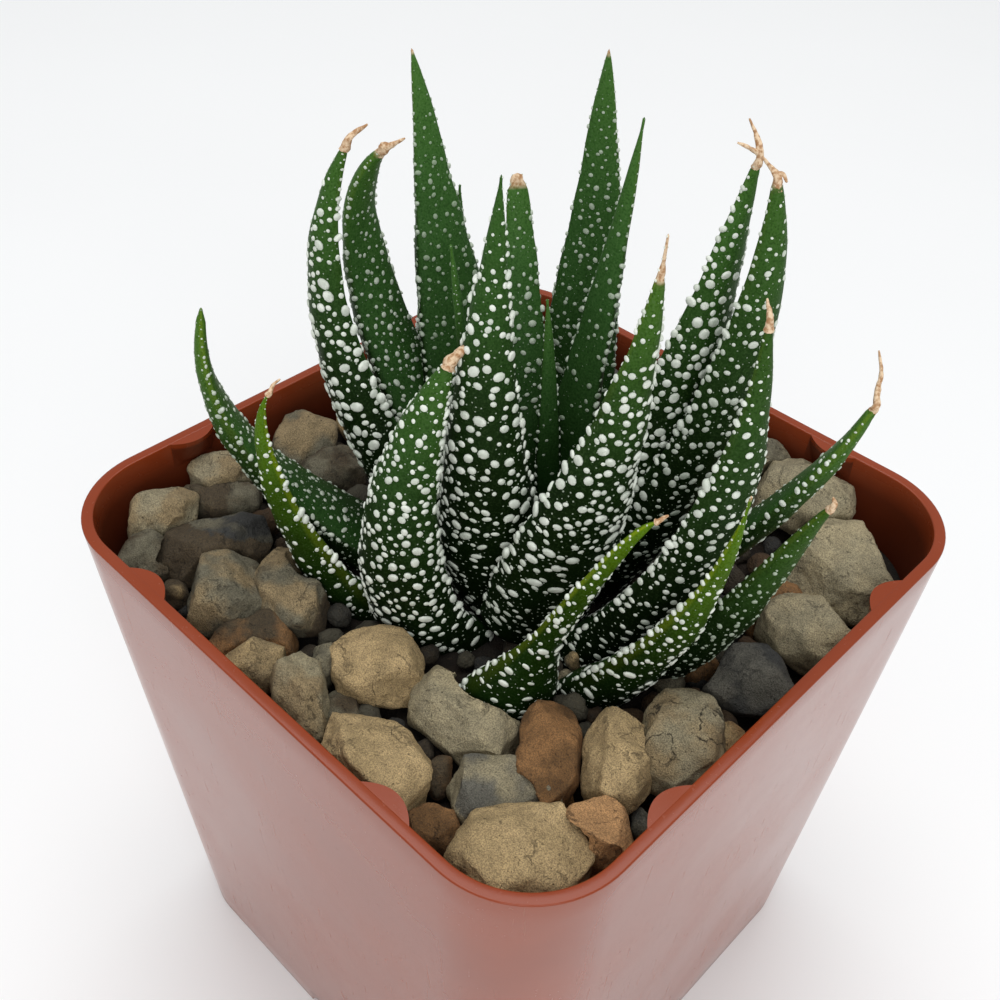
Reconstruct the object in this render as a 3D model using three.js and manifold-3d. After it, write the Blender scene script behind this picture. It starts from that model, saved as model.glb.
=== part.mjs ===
// Potted haworthia: a rosette of stiff, pointed, white-warted leaves on a short stem, in a square
// plastic pot filled with soil and topped with loose river pebbles.
// Millimetres, +Z up. Origin: middle of the pot's base, which stands on z = 0. The pot's sides run
// along X and Y. Azimuths and turns are degrees counterclockwise from +X, seen from above.
import * as THREE from 'three';
import { mergeVertices } from 'three/addons/utils/BufferGeometryUtils.js';
import { ConvexGeometry } from 'three/addons/geometries/ConvexGeometry.js';
import Module from 'manifold-3d';

const wasm = await Module();
wasm.setup();

// ---------------------------------------------------------------- driving dimensions

const GAP = 0.3; // clearance between pieces that touch on the real object

const POT = {
  height: 63,
  rimHalf: 31.75, // half the width over the rim: a 2.5 inch pot
  baseHalf: 28.2,
  rimCorner: 9.5, // corner radii seen from above
  baseCorner: 8.8,
  wall: 1.1,
  floor: 1.4,
  rimRound: 0.3, // rounding of the rim's and the foot's edges
  footWidth: 6, // the flat ring that the pot stands on
  footRise: 2, // how far the middle of the base is raised
  notchRadius: 3, // drain notch in the middle of each side's foot
};
const LUG = { offset: 15.7, length: 6, reach: 1.2, depth: 3 }; // stacking lugs under the rim
const SOIL = { top: 54.8, relief: 1.3, rows: 7 };
const AXIS = [2, 1]; // where the rosette's axis stands in the pot
const STEM = { radius: 4.5, bottom: 44, shoulder: 55, top: 64, tipRadius: 1.2 };

// A leaf is a lattice of staggered rows, and every third point of it is raised as a wart.
const LEAF = {
  rowStep: 3,
  columns: 12,
  narrowColumns: 6, // on leaves narrower than narrowWidth
  narrowWidth: 4,
  taper: 0.7, // how fast the width falls off towards the point
  swellAt: 0.1, // how far along the middle line a bulb is widest
  swellSpread: 0.17, // how far along from there it has fallen to about a third
  lastRow: 0.96, // how far along the middle line the last row lies, before the point
  keelShare: 0.8, // depth of the rounded outer face, as a share of half the width
  innerShare: 0.25, // depth of the flat inner face
  leastHalf: 0.4, // half thickness that the blade keeps to its end
};
const WART = { height: 0.6, innerHeight: 0.25 };

// The rosette, inner leaves first. A leaf's middle line is a cubic curve in the upright plane of its
// azimuth: reach is the distance out from its root (the axis, unless root is given) and height the
// height over the table, at the curve's four control points. turn swings its outer face round, taper
// is how fast its width falls off towards the point, and swell is how far a bulb near its seat
// stands out on each side.
const LEAVES = [
  // name, azimuth, reach, height, width, turn, root, taper, swell
  ['leaf_centre', 150, [0, 2, 2, 4.5], [65, 70.5, 77.5, 84], 2.8, 0, [2.5, 1.5]],
  ['leaf_young', 226, [1, 7, 7.5, 8.7], [62, 72.5, 82, 91.5], 3.4, 0, AXIS, 0.8],
  ['leaf_inner_front', 262, [3, 8.5, 7, 6.3], [55, 67.5, 85, 99.2], 13, 38, AXIS, 1],
  ['leaf_inner_back', 146, [2, 5.5, 12, 16], [62, 72, 80, 90], 4.6, 0, AXIS, 0.3],
  ['leaf_inner_slim', 158, [3, 16, 21.5, 21], [57, 64, 77, 87], 5, 0, AXIS, 0.8],
  ['leaf_inner_right', 88, [2, 2.5, 7, 8.5], [61, 74.5, 86.5, 99.7], 7, 0, AXIS, 0.95],
  ['leaf_tall_back', 117, [5, 11, 14, 11.5], [60, 72, 87, 103], 10.4, 0, AXIS, 0.75],
  ['leaf_tall_left', 168, [3, 17.5, 17, 23], [60, 69.5, 86, 99.5], 12.4, 0, AXIS, 0.85],
  ['leaf_broad_right', 8, [0, 4, 8.5, 8.5], [57, 72, 85, 99], 13.5, -38, [6, -4], 1.2],
  ['leaf_tall_right', 46, [3, 10.7, 12, 14.4], [57, 70, 85, 99.5], 13.2, -55, AXIS, 0.82],
  ['leaf_dry_left', 186, [3, 13.5, 28.5, 18.5], [59, 64, 84, 94], 9.5, 0, AXIS, 0.6],
  ['leaf_dry_right', 33, [4, 12, 17.8, 15.3], [54, 67.5, 85, 99.5], 9.7, -50, AXIS, 0.62],
  ['leaf_curved_right', 8, [3.5, 15, 19.3, 17.6], [52, 62, 79.5, 94.5], 13.2, -25, [4, -2], 0.92],
  ['leaf_curved_left', 205, [3, 19, 24.5, 17.9], [56, 64, 84.5, 97.2], 12, 60, AXIS, 0.85],
  ['leaf_broad_front', 256, [3, 19.5, 15.5, 9.8], [50, 54, 75.5, 84], 12.8, 35],
  ['leaf_low_front', 5, [7, 15.3, 20.3, 20.6], [51.5, 61.6, 72.3, 83.5], 10.6, -30, [5, -6], 1.3],
  ['leaf_low_left', 218, [4, 16, 27, 24.3], [56, 60.5, 70, 83.2], 10.5, 20, [-2, -3], 0.78],
  ['leaf_side_left', 236, [4, 10, 19.5, 15], [52.5, 50, 75, 80], 10, 42, [-3, -6], 1.15],
  ['leaf_long_right', 34, [4, 13.5, 20.5, 23], [55, 66.4, 75.6, 83.6], 7.2, -20, [7, -1], 0.66],
  ['leaf_low_right', 16, [4, 16, 18, 22.5], [51.5, 57, 70, 80.2], 8.2, -45, [7, -3], 0.75],
  ['leaf_bulb_front', 30, [0, 3.4, 9.9, 12], [54, 61.2, 78.6, 79.3], 3.9, -60, [9.8, -13.2], 0.85, 3.1],
  ['leaf_back_left', 166, [2, 18, 23, 20.5], [54, 57, 70, 82], 9, 0],
  ['leaf_back', 130, [2, 16, 19, 19], [54, 56, 66, 74], 9, 0],
  ['leaf_back_right', 82, [2, 18, 20, 20], [54, 56, 65, 73], 9, 0],
].map(([name, azimuth, reach, height, width, turn, root = AXIS, taper = LEAF.taper, swell = 0]) => (
  { name, azimuth, reach, height, width, turn, root, taper, swell }
));

// Pebbles, the ones on top first. centre is over the table; width, depth and height are the
// pebble's own, and turn is the direction of its width. points: few make it angular, many round.
const PEBBLES = [
  // name, centre, width, depth, height, turn, points, colour
  ['pebble_01', [24.1, -25, 59.2], 10.2, 7.5, 5.2, 40, 22, 0xa89a78],
  ['pebble_02', [19.2, -21.6, 57], 9, 7.6, 6, 41, 20, 0x6d7478],
  ['pebble_03', [10.1, -27.2, 58.5], 8.8, 9.8, 6.5, 52, 22, 0xa39a78],
  ['pebble_04', [10.9, -18.2, 57], 10.8, 6.4, 5.4, -2, 18, 0x7d7f74],
  ['pebble_05', [2.5, -19.6, 57.9], 7.7, 6.9, 5.6, 51, 40, 0x98907a],
  ['pebble_06', [26, -7.5, 58.3], 6.6, 9.5, 7, 27, 34, 0x7e7f76],
  ['pebble_07', [23.5, -12.5, 58.5], 6.3, 9.6, 6, 32, 24, 0xa29878],
  ['pebble_08', [19.4, -16.2, 58], 5.2, 11, 5.5, 38, 40, 0x7a5c38],
  ['pebble_09', [27.4, -19.6, 58.7], 6.3, 5.6, 5.8, 33, 18, 0xa5794f],
  ['pebble_10', [-10.1, -19.3, 57.8], 7, 10.5, 6.6, 57, 22, 0x8f846c],
  ['pebble_11', [-14.5, -24.3, 58], 8.4, 8.6, 6, 62, 24, 0x7f7a68],
  ['pebble_12', [-20, -21.5, 57.8], 11.5, 6.6, 6, 62, 22, 0x4d4a48],
  ['pebble_13', [0.6, -26.9, 58], 4.4, 8.6, 6, 57, 22, 0x80806f],
  ['pebble_14', [-5.4, -27.7, 58], 5.6, 5, 5.4, 60, 18, 0x98917a],
  ['pebble_15', [-8.7, -25.3, 56.6], 8, 5.6, 5, 60, 26, 0x9a6a40],
  ['pebble_16', [-26.4, -22.5, 58.6], 7.2, 5.4, 5.6, 64, 20, 0x8d8874],
  ['pebble_17', [-27.6, -15, 59], 6.6, 4.6, 4.6, 61, 26, 0x9a8f78],
  ['pebble_18', [-25.4, -16.9, 57.6], 8.5, 5, 5, 61, 24, 0x6f7068],
  ['pebble_19', [-23.3, -26.7, 57.6], 6.5, 5.4, 5, 66, 20, 0x7b776a],
  ['pebble_20', [-26.6, -5, 58.3], 7, 7, 5.6, 55, 22, 0x8a8270],
  ['pebble_21', [-21.8, -5.2, 57.4], 7, 7, 5.6, 53, 20, 0x6f7069],
  ['pebble_22', [26.7, 10.8, 58.3], 9.2, 7, 6.4, 21, 24, 0x827d6c],
  ['pebble_23', [24, 21.3, 57.8], 10.2, 10.8, 7.2, 20, 24, 0x7c7a6b],
  ['pebble_24', [25.8, 2.9, 57.6], 7.6, 7.4, 6, 24, 16, 0x45474c],
  ['pebble_25', [16.2, 26.4, 59], 10.2, 8.5, 7, 22, 24, 0x8b8772],
  ['pebble_26', [9.5, 26.5, 58.2], 8.5, 6.6, 6, 24, 22, 0x77705f],
  ['pebble_27', [21.9, 12.2, 56.8], 5.8, 6.6, 5.2, 24, 26, 0x92633c],
  ['pebble_28', [17.2, -27.4, 57], 4.6, 4.4, 4.6, 48, 22, 0x8e6038],
  ['pebble_29', [-26, 3, 58], 6.6, 7.6, 6, 80, 22, 0x9b927a],
  ['pebble_30', [-25, 12.5, 58.2], 7.6, 8, 6.2, 100, 20, 0x74766d],
  ['pebble_31', [-23, 22, 58.2], 9, 8, 6.4, 140, 24, 0xa0906c],
  ['pebble_32', [-12, 25.5, 58], 9.6, 6.8, 6, 175, 20, 0x6a6c6a],
  ['pebble_33', [-1.5, 26, 58], 8, 7, 6.2, 200, 24, 0x8e7a58],
].map(([name, centre, width, depth, height, turn, points, colour]) => (
  { name, centre, size: [width, depth, height], turn, points, colour }
));

const FINISH = {
  pot: { color: 0xa9573f, roughness: 0.35 },
  soil: { color: 0x2a2019, roughness: 1 },
  stem: { color: 0x5b6b34, roughness: 0.7 },
  leaf: { color: 0x2f6b2c, roughness: 0.5 },
  pebble: { roughness: 0.85 },
};

// ---------------------------------------------------------------- solids and booleans

const radians = THREE.MathUtils.degToRad;
const mix = THREE.MathUtils.lerp;

function solid(geometry) {
  const bare = geometry.clone();
  bare.deleteAttribute('normal');
  bare.deleteAttribute('uv');
  const merged = mergeVertices(bare, 1e-4);
  return new wasm.Manifold(new wasm.Mesh({
    numProp: 3,
    vertProperties: new Float32Array(merged.attributes.position.array),
    triVerts: new Uint32Array(merged.index.array),
  }));
}

// The largest piece of a body, so that a cut leaves no loose scrap.
function largest(body) {
  const pieces = body.decompose();
  return pieces.reduce((a, b) => (a.volume() >= b.volume() ? a : b));
}

function geometryOf(body) {
  const mesh = body.getMesh();
  const geometry = new THREE.BufferGeometry();
  const points = [];
  for (let i = 0; i < mesh.numVert; i += 1) {
    points.push(...mesh.vertProperties.slice(i * mesh.numProp, i * mesh.numProp + 3));
  }
  geometry.setAttribute('position', new THREE.Float32BufferAttribute(points, 3));
  geometry.setIndex(Array.from(mesh.triVerts));
  geometry.computeVertexNormals();
  return geometry;
}

function boxesMeet(a, b) {
  const p = a.boundingBox();
  const q = b.boundingBox();
  return [0, 1, 2].every((i) => p.min[i] < q.max[i] && q.min[i] < p.max[i]);
}

function cutBy(body, cutters) {
  const near = cutters.filter((cutter) => boxesMeet(body, cutter));
  return near.length ? largest(near.reduce((left, cutter) => left.subtract(cutter), body)) : body;
}

// A closed body through rings of points, all with the same number of points, ends capped by fans.
function loft(rings, startPoint, endPoint) {
  const count = rings[0].length;
  const points = [...rings.flat(), startPoint, endPoint];
  const start = points.length - 2;
  const end = points.length - 1;
  const last = (rings.length - 1) * count;
  const index = [];
  for (let row = 0; row < rings.length; row += 1) {
    for (let i = 0; i < count; i += 1) {
      const next = (i + 1) % count;
      if (row === 0) index.push(start, next, i);
      if (row === rings.length - 1) {
        index.push(end, last + i, last + next);
      } else {
        const a = row * count;
        const b = a + count;
        index.push(a + i, a + next, b + next, a + i, b + next, b + i);
      }
    }
  }
  const geometry = new THREE.BufferGeometry();
  geometry.setAttribute('position', new THREE.Float32BufferAttribute(points.flatMap((p) => [...p]), 3));
  geometry.setIndex(index);
  return geometry;
}

// ---------------------------------------------------------------- pot and soil

function roundedSquare(half, corner, z, perCorner = 6) {
  const ring = [];
  for (let quarter = 0; quarter < 4; quarter += 1) {
    const middle = radians(quarter * 90 + 45);
    const centreX = Math.sign(Math.cos(middle)) * (half - corner);
    const centreY = Math.sign(Math.sin(middle)) * (half - corner);
    for (let i = 0; i < perCorner; i += 1) {
      const angle = radians(quarter * 90 + (90 * i) / (perCorner - 1));
      const x = centreX + corner * Math.cos(angle);
      const y = centreY + corner * Math.sin(angle);
      ring.push(new THREE.Vector3(x, y, z));
    }
  }
  return ring;
}

// The pot's outline at a height, moved in by an inset.
function outline(z, inset, perCorner) {
  const share = z / POT.height;
  const half = mix(POT.baseHalf, POT.rimHalf, share) - inset;
  const corner = mix(POT.baseCorner, POT.rimCorner, share) - inset;
  return roundedSquare(half, corner, z, perCorner);
}

function prism(rings) {
  const middle = (ring) => new THREE.Vector3(0, 0, ring[0].z);
  return solid(loft(rings, middle(rings[0]), middle(rings[rings.length - 1])));
}

function atSide(geometry, quarter) {
  geometry.rotateZ(radians(90 * quarter));
  return solid(geometry);
}

// A wedge under the rim, a shallow arc seen from above, that keeps nested pots apart.
function lug(centreX, grow = 0) {
  const wallY = -(POT.rimHalf - POT.wall);
  const half = LUG.length / 2 + grow;
  const points = [];
  const steps = 6;
  for (let i = 0; i <= steps; i += 1) {
    const along = (2 * i) / steps - 1;
    const y = wallY + (LUG.reach + grow) * (1 - along * along);
    points.push(new THREE.Vector3(centreX + along * half, y, POT.height));
  }
  for (const x of [centreX - half, centreX + half]) {
    points.push(new THREE.Vector3(x, wallY - POT.wall / 2, POT.height));
    points.push(new THREE.Vector3(x, wallY - POT.wall / 2, POT.height - LUG.depth - grow));
  }
  return new ConvexGeometry(points);
}

function plateau(halfWidth, bottom, top) {
  const corner = POT.baseCorner * 0.6;
  return prism([roundedSquare(halfWidth, corner, bottom), roundedSquare(halfWidth, corner, top)]);
}

function buildPot() {
  const round = POT.rimRound;
  const inside = POT.wall;
  const footHalf = POT.baseHalf - POT.footWidth;
  const footTop = POT.footRise + POT.floor;
  const rimInside = outline(POT.height, inside - round);
  rimInside.forEach((point) => point.setZ(POT.height + round));
  let body = prism([
    outline(0, round),
    outline(round, 0),
    outline(POT.height - round, 0),
    outline(POT.height, round),
  ]);
  const cavity = prism([outline(POT.floor, inside), outline(POT.height - round, inside), rimInside])
    .subtract(plateau(footHalf + POT.floor, 0, footTop));
  body = body.subtract(cavity).subtract(plateau(footHalf, -1, POT.footRise));
  for (let quarter = 0; quarter < 4; quarter += 1) {
    body = body.add(atSide(lug(-LUG.offset), quarter)).add(atSide(lug(LUG.offset), quarter));
    const notch = new THREE.CylinderGeometry(POT.notchRadius, POT.notchRadius, POT.footWidth + 2, 12);
    notch.translate(0, -(footHalf + POT.footWidth / 2 + 1), -POT.notchRadius * 0.15);
    body = body.subtract(atSide(notch, quarter));
  }
  return body;
}

// The room that the wall and its lugs take from the pebbles, with their clearance.
function wallRoom() {
  const inset = POT.wall + GAP;
  const beyond = -5;
  let body = prism([outline(0, beyond), outline(POT.height, beyond)])
    .subtract(prism([outline(0, inset), outline(POT.height + 1, inset)]));
  for (let quarter = 0; quarter < 4; quarter += 1) {
    body = body.add(atSide(lug(-LUG.offset, GAP), quarter)).add(atSide(lug(LUG.offset, GAP), quarter));
  }
  return body;
}

// Ground that is lumpy with small gravel: waves of unlike length and direction.
function lumps(x, y) {
  return (Math.sin(x * 1.1 + y * 0.4) + Math.sin(y * 1.2 - x * 0.5 + 2) + Math.sin(x * 0.6 - y * 0.8)) / 3;
}

function buildSoil(cutters) {
  const inset = POT.wall + GAP;
  const bottom = POT.floor + GAP;
  const perCorner = 5;
  const rings = [outline(bottom, inset, perCorner)];
  for (let row = 0; row < SOIL.rows; row += 1) {
    const share = 1 - row / SOIL.rows;
    const ring = outline(SOIL.top, inset, perCorner);
    for (const point of ring) {
      point.set(point.x * share, point.y * share, SOIL.top);
      if (row > 0) point.z += SOIL.relief * lumps(point.x, point.y);
    }
    rings.push(ring);
  }
  const footHalf = POT.baseHalf - POT.footWidth + POT.floor;
  const body = prism(rings).subtract(plateau(footHalf + GAP, 0, POT.footRise + POT.floor + GAP));
  return cutBy(body, cutters);
}

// ---------------------------------------------------------------- stem and leaves

function buildStem(grow) {
  const profile = [
    [0, STEM.bottom - grow],
    [STEM.radius + grow, STEM.bottom - grow],
    [STEM.radius + grow, STEM.shoulder],
    [STEM.tipRadius + grow, STEM.top + grow],
    [0, STEM.top + grow],
  ];
  const body = new THREE.LatheGeometry(profile.map(([radius, z]) => new THREE.Vector2(radius, z)), 12);
  body.rotateX(Math.PI / 2);
  body.translate(AXIS[0], AXIS[1], 0);
  return solid(body);
}

function middleLine(leaf) {
  const angle = radians(leaf.azimuth);
  const points = leaf.reach.map((reach, i) => new THREE.Vector3(
    leaf.root[0] + reach * Math.cos(angle),
    leaf.root[1] + reach * Math.sin(angle),
    leaf.height[i],
  ));
  return new THREE.CubicBezierCurve3(...points);
}

// Half the leaf's width: it widens from its seat to a fifth of its length and then tapers, and the
// bulb, if any, is added near the seat.
function halfWidth(leaf, along) {
  const seat = Math.min(1, 0.8 + along);
  const bulb = leaf.swell * Math.exp(-(((along - LEAF.swellAt) / LEAF.swellSpread) ** 2));
  return (leaf.width / 2) * seat * (1 - along) ** leaf.taper + bulb;
}

// A leaf as a closed lattice. grow makes it that much larger all round, with no warts, for the room
// that it takes among its neighbours.
function leafSolid(leaf, grow = 0) {
  const curve = middleLine(leaf);
  const narrow = leaf.width + 2 * leaf.swell < LEAF.narrowWidth;
  const columns = narrow ? LEAF.narrowColumns : LEAF.columns;
  const rows = Math.max(6, Math.round(curve.getLength() / LEAF.rowStep));
  const facing = radians(leaf.azimuth + leaf.turn);
  const across = new THREE.Vector3(-Math.sin(facing), Math.cos(facing), 0);
  const rings = [];
  for (let row = 0; row <= rows; row += 1) {
    const along = (LEAF.lastRow * row) / rows;
    const centre = curve.getPoint(along);
    const forward = curve.getTangent(along);
    const side = across.clone().addScaledVector(forward, -across.dot(forward)).normalize();
    const outward = side.clone().cross(forward);
    const half = Math.max(halfWidth(leaf, along), LEAF.leastHalf);
    const fade = Math.min(1, along * 8, (1 - along) * 5);
    const ring = [];
    for (let column = 0; column < columns; column += 1) {
      const angle = (2 * Math.PI * (column + (row % 2) / 2)) / columns;
      const outer = Math.sin(angle) >= 0;
      const depth = Math.max(half * (outer ? LEAF.keelShare : LEAF.innerShare), LEAF.leastHalf);
      const axial = column - (row - (row % 2)) / 2;
      const isWart = !grow && !narrow && ((((axial - row) % 3) + 3) % 3) === 0;
      const height = outer ? WART.height : WART.innerHeight;
      const lift = grow + (isWart ? height * fade : 0);
      ring.push(centre.clone()
        .addScaledVector(side, (half + lift) * Math.cos(angle))
        .addScaledVector(outward, (depth + lift) * Math.sin(angle)));
    }
    rings.push(ring);
  }
  const base = curve.getPoint(0).addScaledVector(curve.getTangent(0), -grow);
  const tip = curve.getPoint(1).addScaledVector(curve.getTangent(1), grow);
  return solid(staggered(rings, base, tip));
}

// As loft, but each odd row is turned by half a step, so that the lattice is of even triangles.
function staggered(rings, startPoint, endPoint) {
  const count = rings[0].length;
  const points = [...rings.flat(), startPoint, endPoint];
  const start = points.length - 2;
  const end = points.length - 1;
  const lastRow = rings.length - 1;
  const at = (row, i) => row * count + ((i + count) % count);
  const index = [];
  for (let i = 0; i < count; i += 1) {
    index.push(start, at(0, i), at(0, i + 1));
    index.push(end, at(lastRow, i + 1), at(lastRow, i));
  }
  for (let row = 0; row < lastRow; row += 1) {
    const shift = row % 2;
    for (let i = 0; i < count; i += 1) {
      index.push(at(row, i), at(row + 1, i + shift - 1), at(row + 1, i + shift));
      index.push(at(row, i), at(row + 1, i + shift), at(row, i + 1));
    }
  }
  const geometry = new THREE.BufferGeometry();
  geometry.setAttribute('position', new THREE.Float32BufferAttribute(points.flatMap((p) => [...p]), 3));
  geometry.setIndex(index);
  return geometry;
}

// ---------------------------------------------------------------- pebbles

function seededRandom(seed) {
  let state = seed * 7919 + 17;
  return () => {
    state = (state * 16807) % 2147483647;
    return state / 2147483647;
  };
}

// A pebble is the hull of points spread evenly over a boxy egg and jogged a little.
function pebbleGeometry(pebble, seed) {
  const random = seededRandom(seed + 1);
  const spiral = Math.PI * (3 - Math.sqrt(5));
  const points = [];
  for (let i = 0; i < pebble.points; i += 1) {
    const z = 1 - (2 * i + 1) / pebble.points;
    const angle = spiral * i + random() * 0.9;
    const radius = Math.sqrt(1 - z * z);
    const point = new THREE.Vector3(radius * Math.cos(angle), radius * Math.sin(angle), z);
    const boxy = (value) => Math.sign(value) * Math.abs(value) ** 0.75;
    point.set(boxy(point.x), boxy(point.y), boxy(point.z)).multiplyScalar(0.88 + 0.12 * random());
    points.push(point);
  }
  const box = new THREE.Box3().setFromPoints(points);
  const span = box.getSize(new THREE.Vector3());
  const middle = box.getCenter(new THREE.Vector3());
  points.forEach((point) => point.sub(middle).divide(span));
  return new ConvexGeometry(points);
}

function pebbleSolid(pebble, seed, grow) {
  const geometry = pebbleGeometry(pebble, seed);
  const [width, depth, height] = pebble.size.map((size) => size + 2.4 * grow);
  geometry.scale(width, depth, height);
  geometry.rotateZ(radians(pebble.turn));
  geometry.translate(...pebble.centre);
  return solid(geometry);
}

// ---------------------------------------------------------------- assembly

const group = new THREE.Group();

function addPiece(name, body, finish) {
  const mesh = new THREE.Mesh(geometryOf(body), new THREE.MeshStandardMaterial({ metalness: 0, ...finish }));
  mesh.name = name;
  group.add(mesh);
}

addPiece('pot', buildPot(), FINISH.pot);

addPiece('stem', buildStem(0), FINISH.stem);
const taken = [buildStem(GAP)]; // the room taken so far, with its clearance
for (const leaf of LEAVES) {
  addPiece(leaf.name, cutBy(leafSolid(leaf), taken), FINISH.leaf);
  taken.push(leafSolid(leaf, WART.height + GAP));
}

const wall = wallRoom();
taken.push(wall);
PEBBLES.forEach((pebble, i) => {
  addPiece(pebble.name, cutBy(pebbleSolid(pebble, i, 0), taken), { ...FINISH.pebble, color: pebble.colour });
  taken.push(pebbleSolid(pebble, i, GAP));
});

addPiece('soil', buildSoil(taken.filter((room) => room !== wall)), FINISH.soil);

export default group;
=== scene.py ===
# %% [markdown]
# # A potted haworthia
# A small succulent stands in a square plastic pot, in soil that is topped with river pebbles. Its
# leaves are stiff, pointed and covered with raised warts, most of them white.
#
# The imported model gives the frame: one plain solid for each leaf and pebble, and for the pot, the
# soil and the stem. It is loaded first and never changed. Each finer piece stands for one of its
# nodes, or is something too small for it.

# %% Load the frame
import math
import random

import bmesh
import bpy
import numpy
from mathutils import Matrix, Vector, noise
from mathutils.bvhtree import BVHTree


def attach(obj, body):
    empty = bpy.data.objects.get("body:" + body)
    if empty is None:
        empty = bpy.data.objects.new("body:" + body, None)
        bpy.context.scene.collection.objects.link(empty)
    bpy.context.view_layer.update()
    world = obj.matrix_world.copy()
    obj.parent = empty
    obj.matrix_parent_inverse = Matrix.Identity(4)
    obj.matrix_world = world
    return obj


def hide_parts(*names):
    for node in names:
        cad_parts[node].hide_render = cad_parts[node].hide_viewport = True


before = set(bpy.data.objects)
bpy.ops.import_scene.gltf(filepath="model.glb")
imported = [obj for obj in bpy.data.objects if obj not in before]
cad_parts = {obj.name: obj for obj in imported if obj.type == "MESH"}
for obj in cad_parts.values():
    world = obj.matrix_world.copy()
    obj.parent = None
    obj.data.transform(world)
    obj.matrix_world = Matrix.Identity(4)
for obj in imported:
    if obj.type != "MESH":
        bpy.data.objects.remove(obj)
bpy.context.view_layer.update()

MM = 0.001  # the frame is in metres, and the sizes below are in millimetres
print("nodes in the frame:", len(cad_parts))

# %% [markdown]
# ## Nodes written as expressions
# A finish or a Geometry Nodes tree is easier to read as arithmetic than as a list of nodes and
# links. `Pin` wraps one output socket, and adding, multiplying or raising it adds a Math node.
# `Tree.add` makes any other node from its type, its settings and the values or links of its
# sockets, and the nodes that are used often have a short method of their own.

# %% The wrappers for sockets and trees
def operator(operation, reflected=False):
    """A method for an operator, or for its reflected form, in which the pin comes second."""
    def method(self, other):
        values = (other, self) if reflected else (self, other)
        return self.tree.maths(operation, *values)

    return method


class Pin:
    """An output socket, on which arithmetic adds Math nodes."""

    def __init__(self, tree, socket):
        self.tree = tree
        self.socket = socket

    def out(self, name):
        return Pin(self.tree, self.socket.node.outputs[name])

    __add__ = __radd__ = operator("ADD")
    __sub__ = operator("SUBTRACT")
    __rsub__ = operator("SUBTRACT", reflected=True)
    __mul__ = __rmul__ = operator("MULTIPLY")
    __truediv__ = operator("DIVIDE")
    __rtruediv__ = operator("DIVIDE", reflected=True)
    __pow__ = operator("POWER")
    __lt__ = operator("LESS_THAN")

    def ramp(self, low, high, start=0.0, end=1.0):
        """start below low, end above high, and a smooth step between them."""
        inputs = {0: self, 1: low, 2: high, 3: start, 4: end}
        return self.tree.add("ShaderNodeMapRange", {"interpolation_type": "SMOOTHSTEP"}, inputs)


class Tree:
    """A node tree, built one node at a time."""

    def __init__(self, tree):
        self.tree = tree

    def add(self, kind, settings=None, inputs=None, out=0):
        node = self.tree.nodes.new(kind)
        for name, value in (settings or {}).items():
            setattr(node, name, value)
        for key, value in (inputs or {}).items():
            if isinstance(value, Pin):
                self.tree.links.new(value.socket, node.inputs[key])
            else:
                node.inputs[key].default_value = value
        return Pin(self, node.outputs[out]) if node.outputs else node

    def maths(self, operation, *values):
        return self.add("ShaderNodeMath", {"operation": operation}, dict(enumerate(values)))

    def vector(self, operation, a, b):
        """Vector Math on a and b, of which b is a number where the operation is SCALE."""
        inputs = {0: a, "Scale" if operation == "SCALE" else 1: b}
        out = "Value" if operation == "DOT_PRODUCT" else "Vector"
        return self.add("ShaderNodeVectorMath", {"operation": operation}, inputs, out)

    def combine(self, x, y, z):
        return self.add("ShaderNodeCombineXYZ", None, {0: x, 1: y, 2: z})

    def mix(self, share, a, b, how="MIX"):
        """Colour a, and b where share is 1. A colour is a pin, or red, green and blue."""
        settings = {"data_type": "RGBA", "blend_type": how}
        a, b = ((*colour, 1.0) if isinstance(colour, tuple) else colour for colour in (a, b))
        return self.add("ShaderNodeMix", settings, {0: share, 6: a, 7: b}, out=2)

    def noise(self, size, detail=2.0, roughness=0.5, place=None, out=0):
        """Noise with features about size metres across, at place or else at the piece's own."""
        inputs = {"Vector": self.place if place is None else place, "Scale": 1 / size,
                  "Detail": detail, "Roughness": roughness}
        return self.add("ShaderNodeTexNoise", None, inputs, out)

    def attribute(self, name):
        return self.add("ShaderNodeAttribute", {"attribute_name": name}, out="Fac")


# %% The nodes that Geometry Nodes need most
class GeometryTree(Tree):
    """A Geometry Nodes tree. An input is named with _ where its socket has a space."""

    def geometry(self, kind, settings=None, out=0, **inputs):
        inputs = {name.replace("_", " "): value for name, value in inputs.items()}
        return self.add("GeometryNode" + kind, settings, inputs, out)

    def named(self, name, kind="FLOAT"):
        return self.geometry("InputNamedAttribute", {"data_type": kind}, Name=name)

    def store(self, geometry, name, value):
        return self.geometry("StoreNamedAttribute", {"data_type": "FLOAT"},
                             Geometry=geometry, Name=name, Value=value)

    def without(self, points, chosen):
        return self.geometry("DeleteGeometry", Geometry=points, Selection=chosen)

    def painted(self, geometry, finish):
        return self.geometry("SetMaterial", Geometry=geometry, Material=finish)

    def between(self, low, high, seed):
        """A random number for each point, or a random vector if low and high are vectors."""
        kind, first, out = ("FLOAT_VECTOR", 0, 0) if isinstance(low, tuple) else ("FLOAT", 2, 1)
        inputs = {first: low, first + 1: high, 8: seed}
        return self.add("FunctionNodeRandomValue", {"data_type": kind}, inputs, out)

    def join(self, *parts):
        """Join Geometry takes all its parts on one socket, the last one first."""
        node = self.tree.nodes.new("GeometryNodeJoinGeometry")
        for part in reversed(parts):
            self.tree.links.new(part.socket, node.inputs[0])
        return Pin(self, node.outputs[0])


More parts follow.
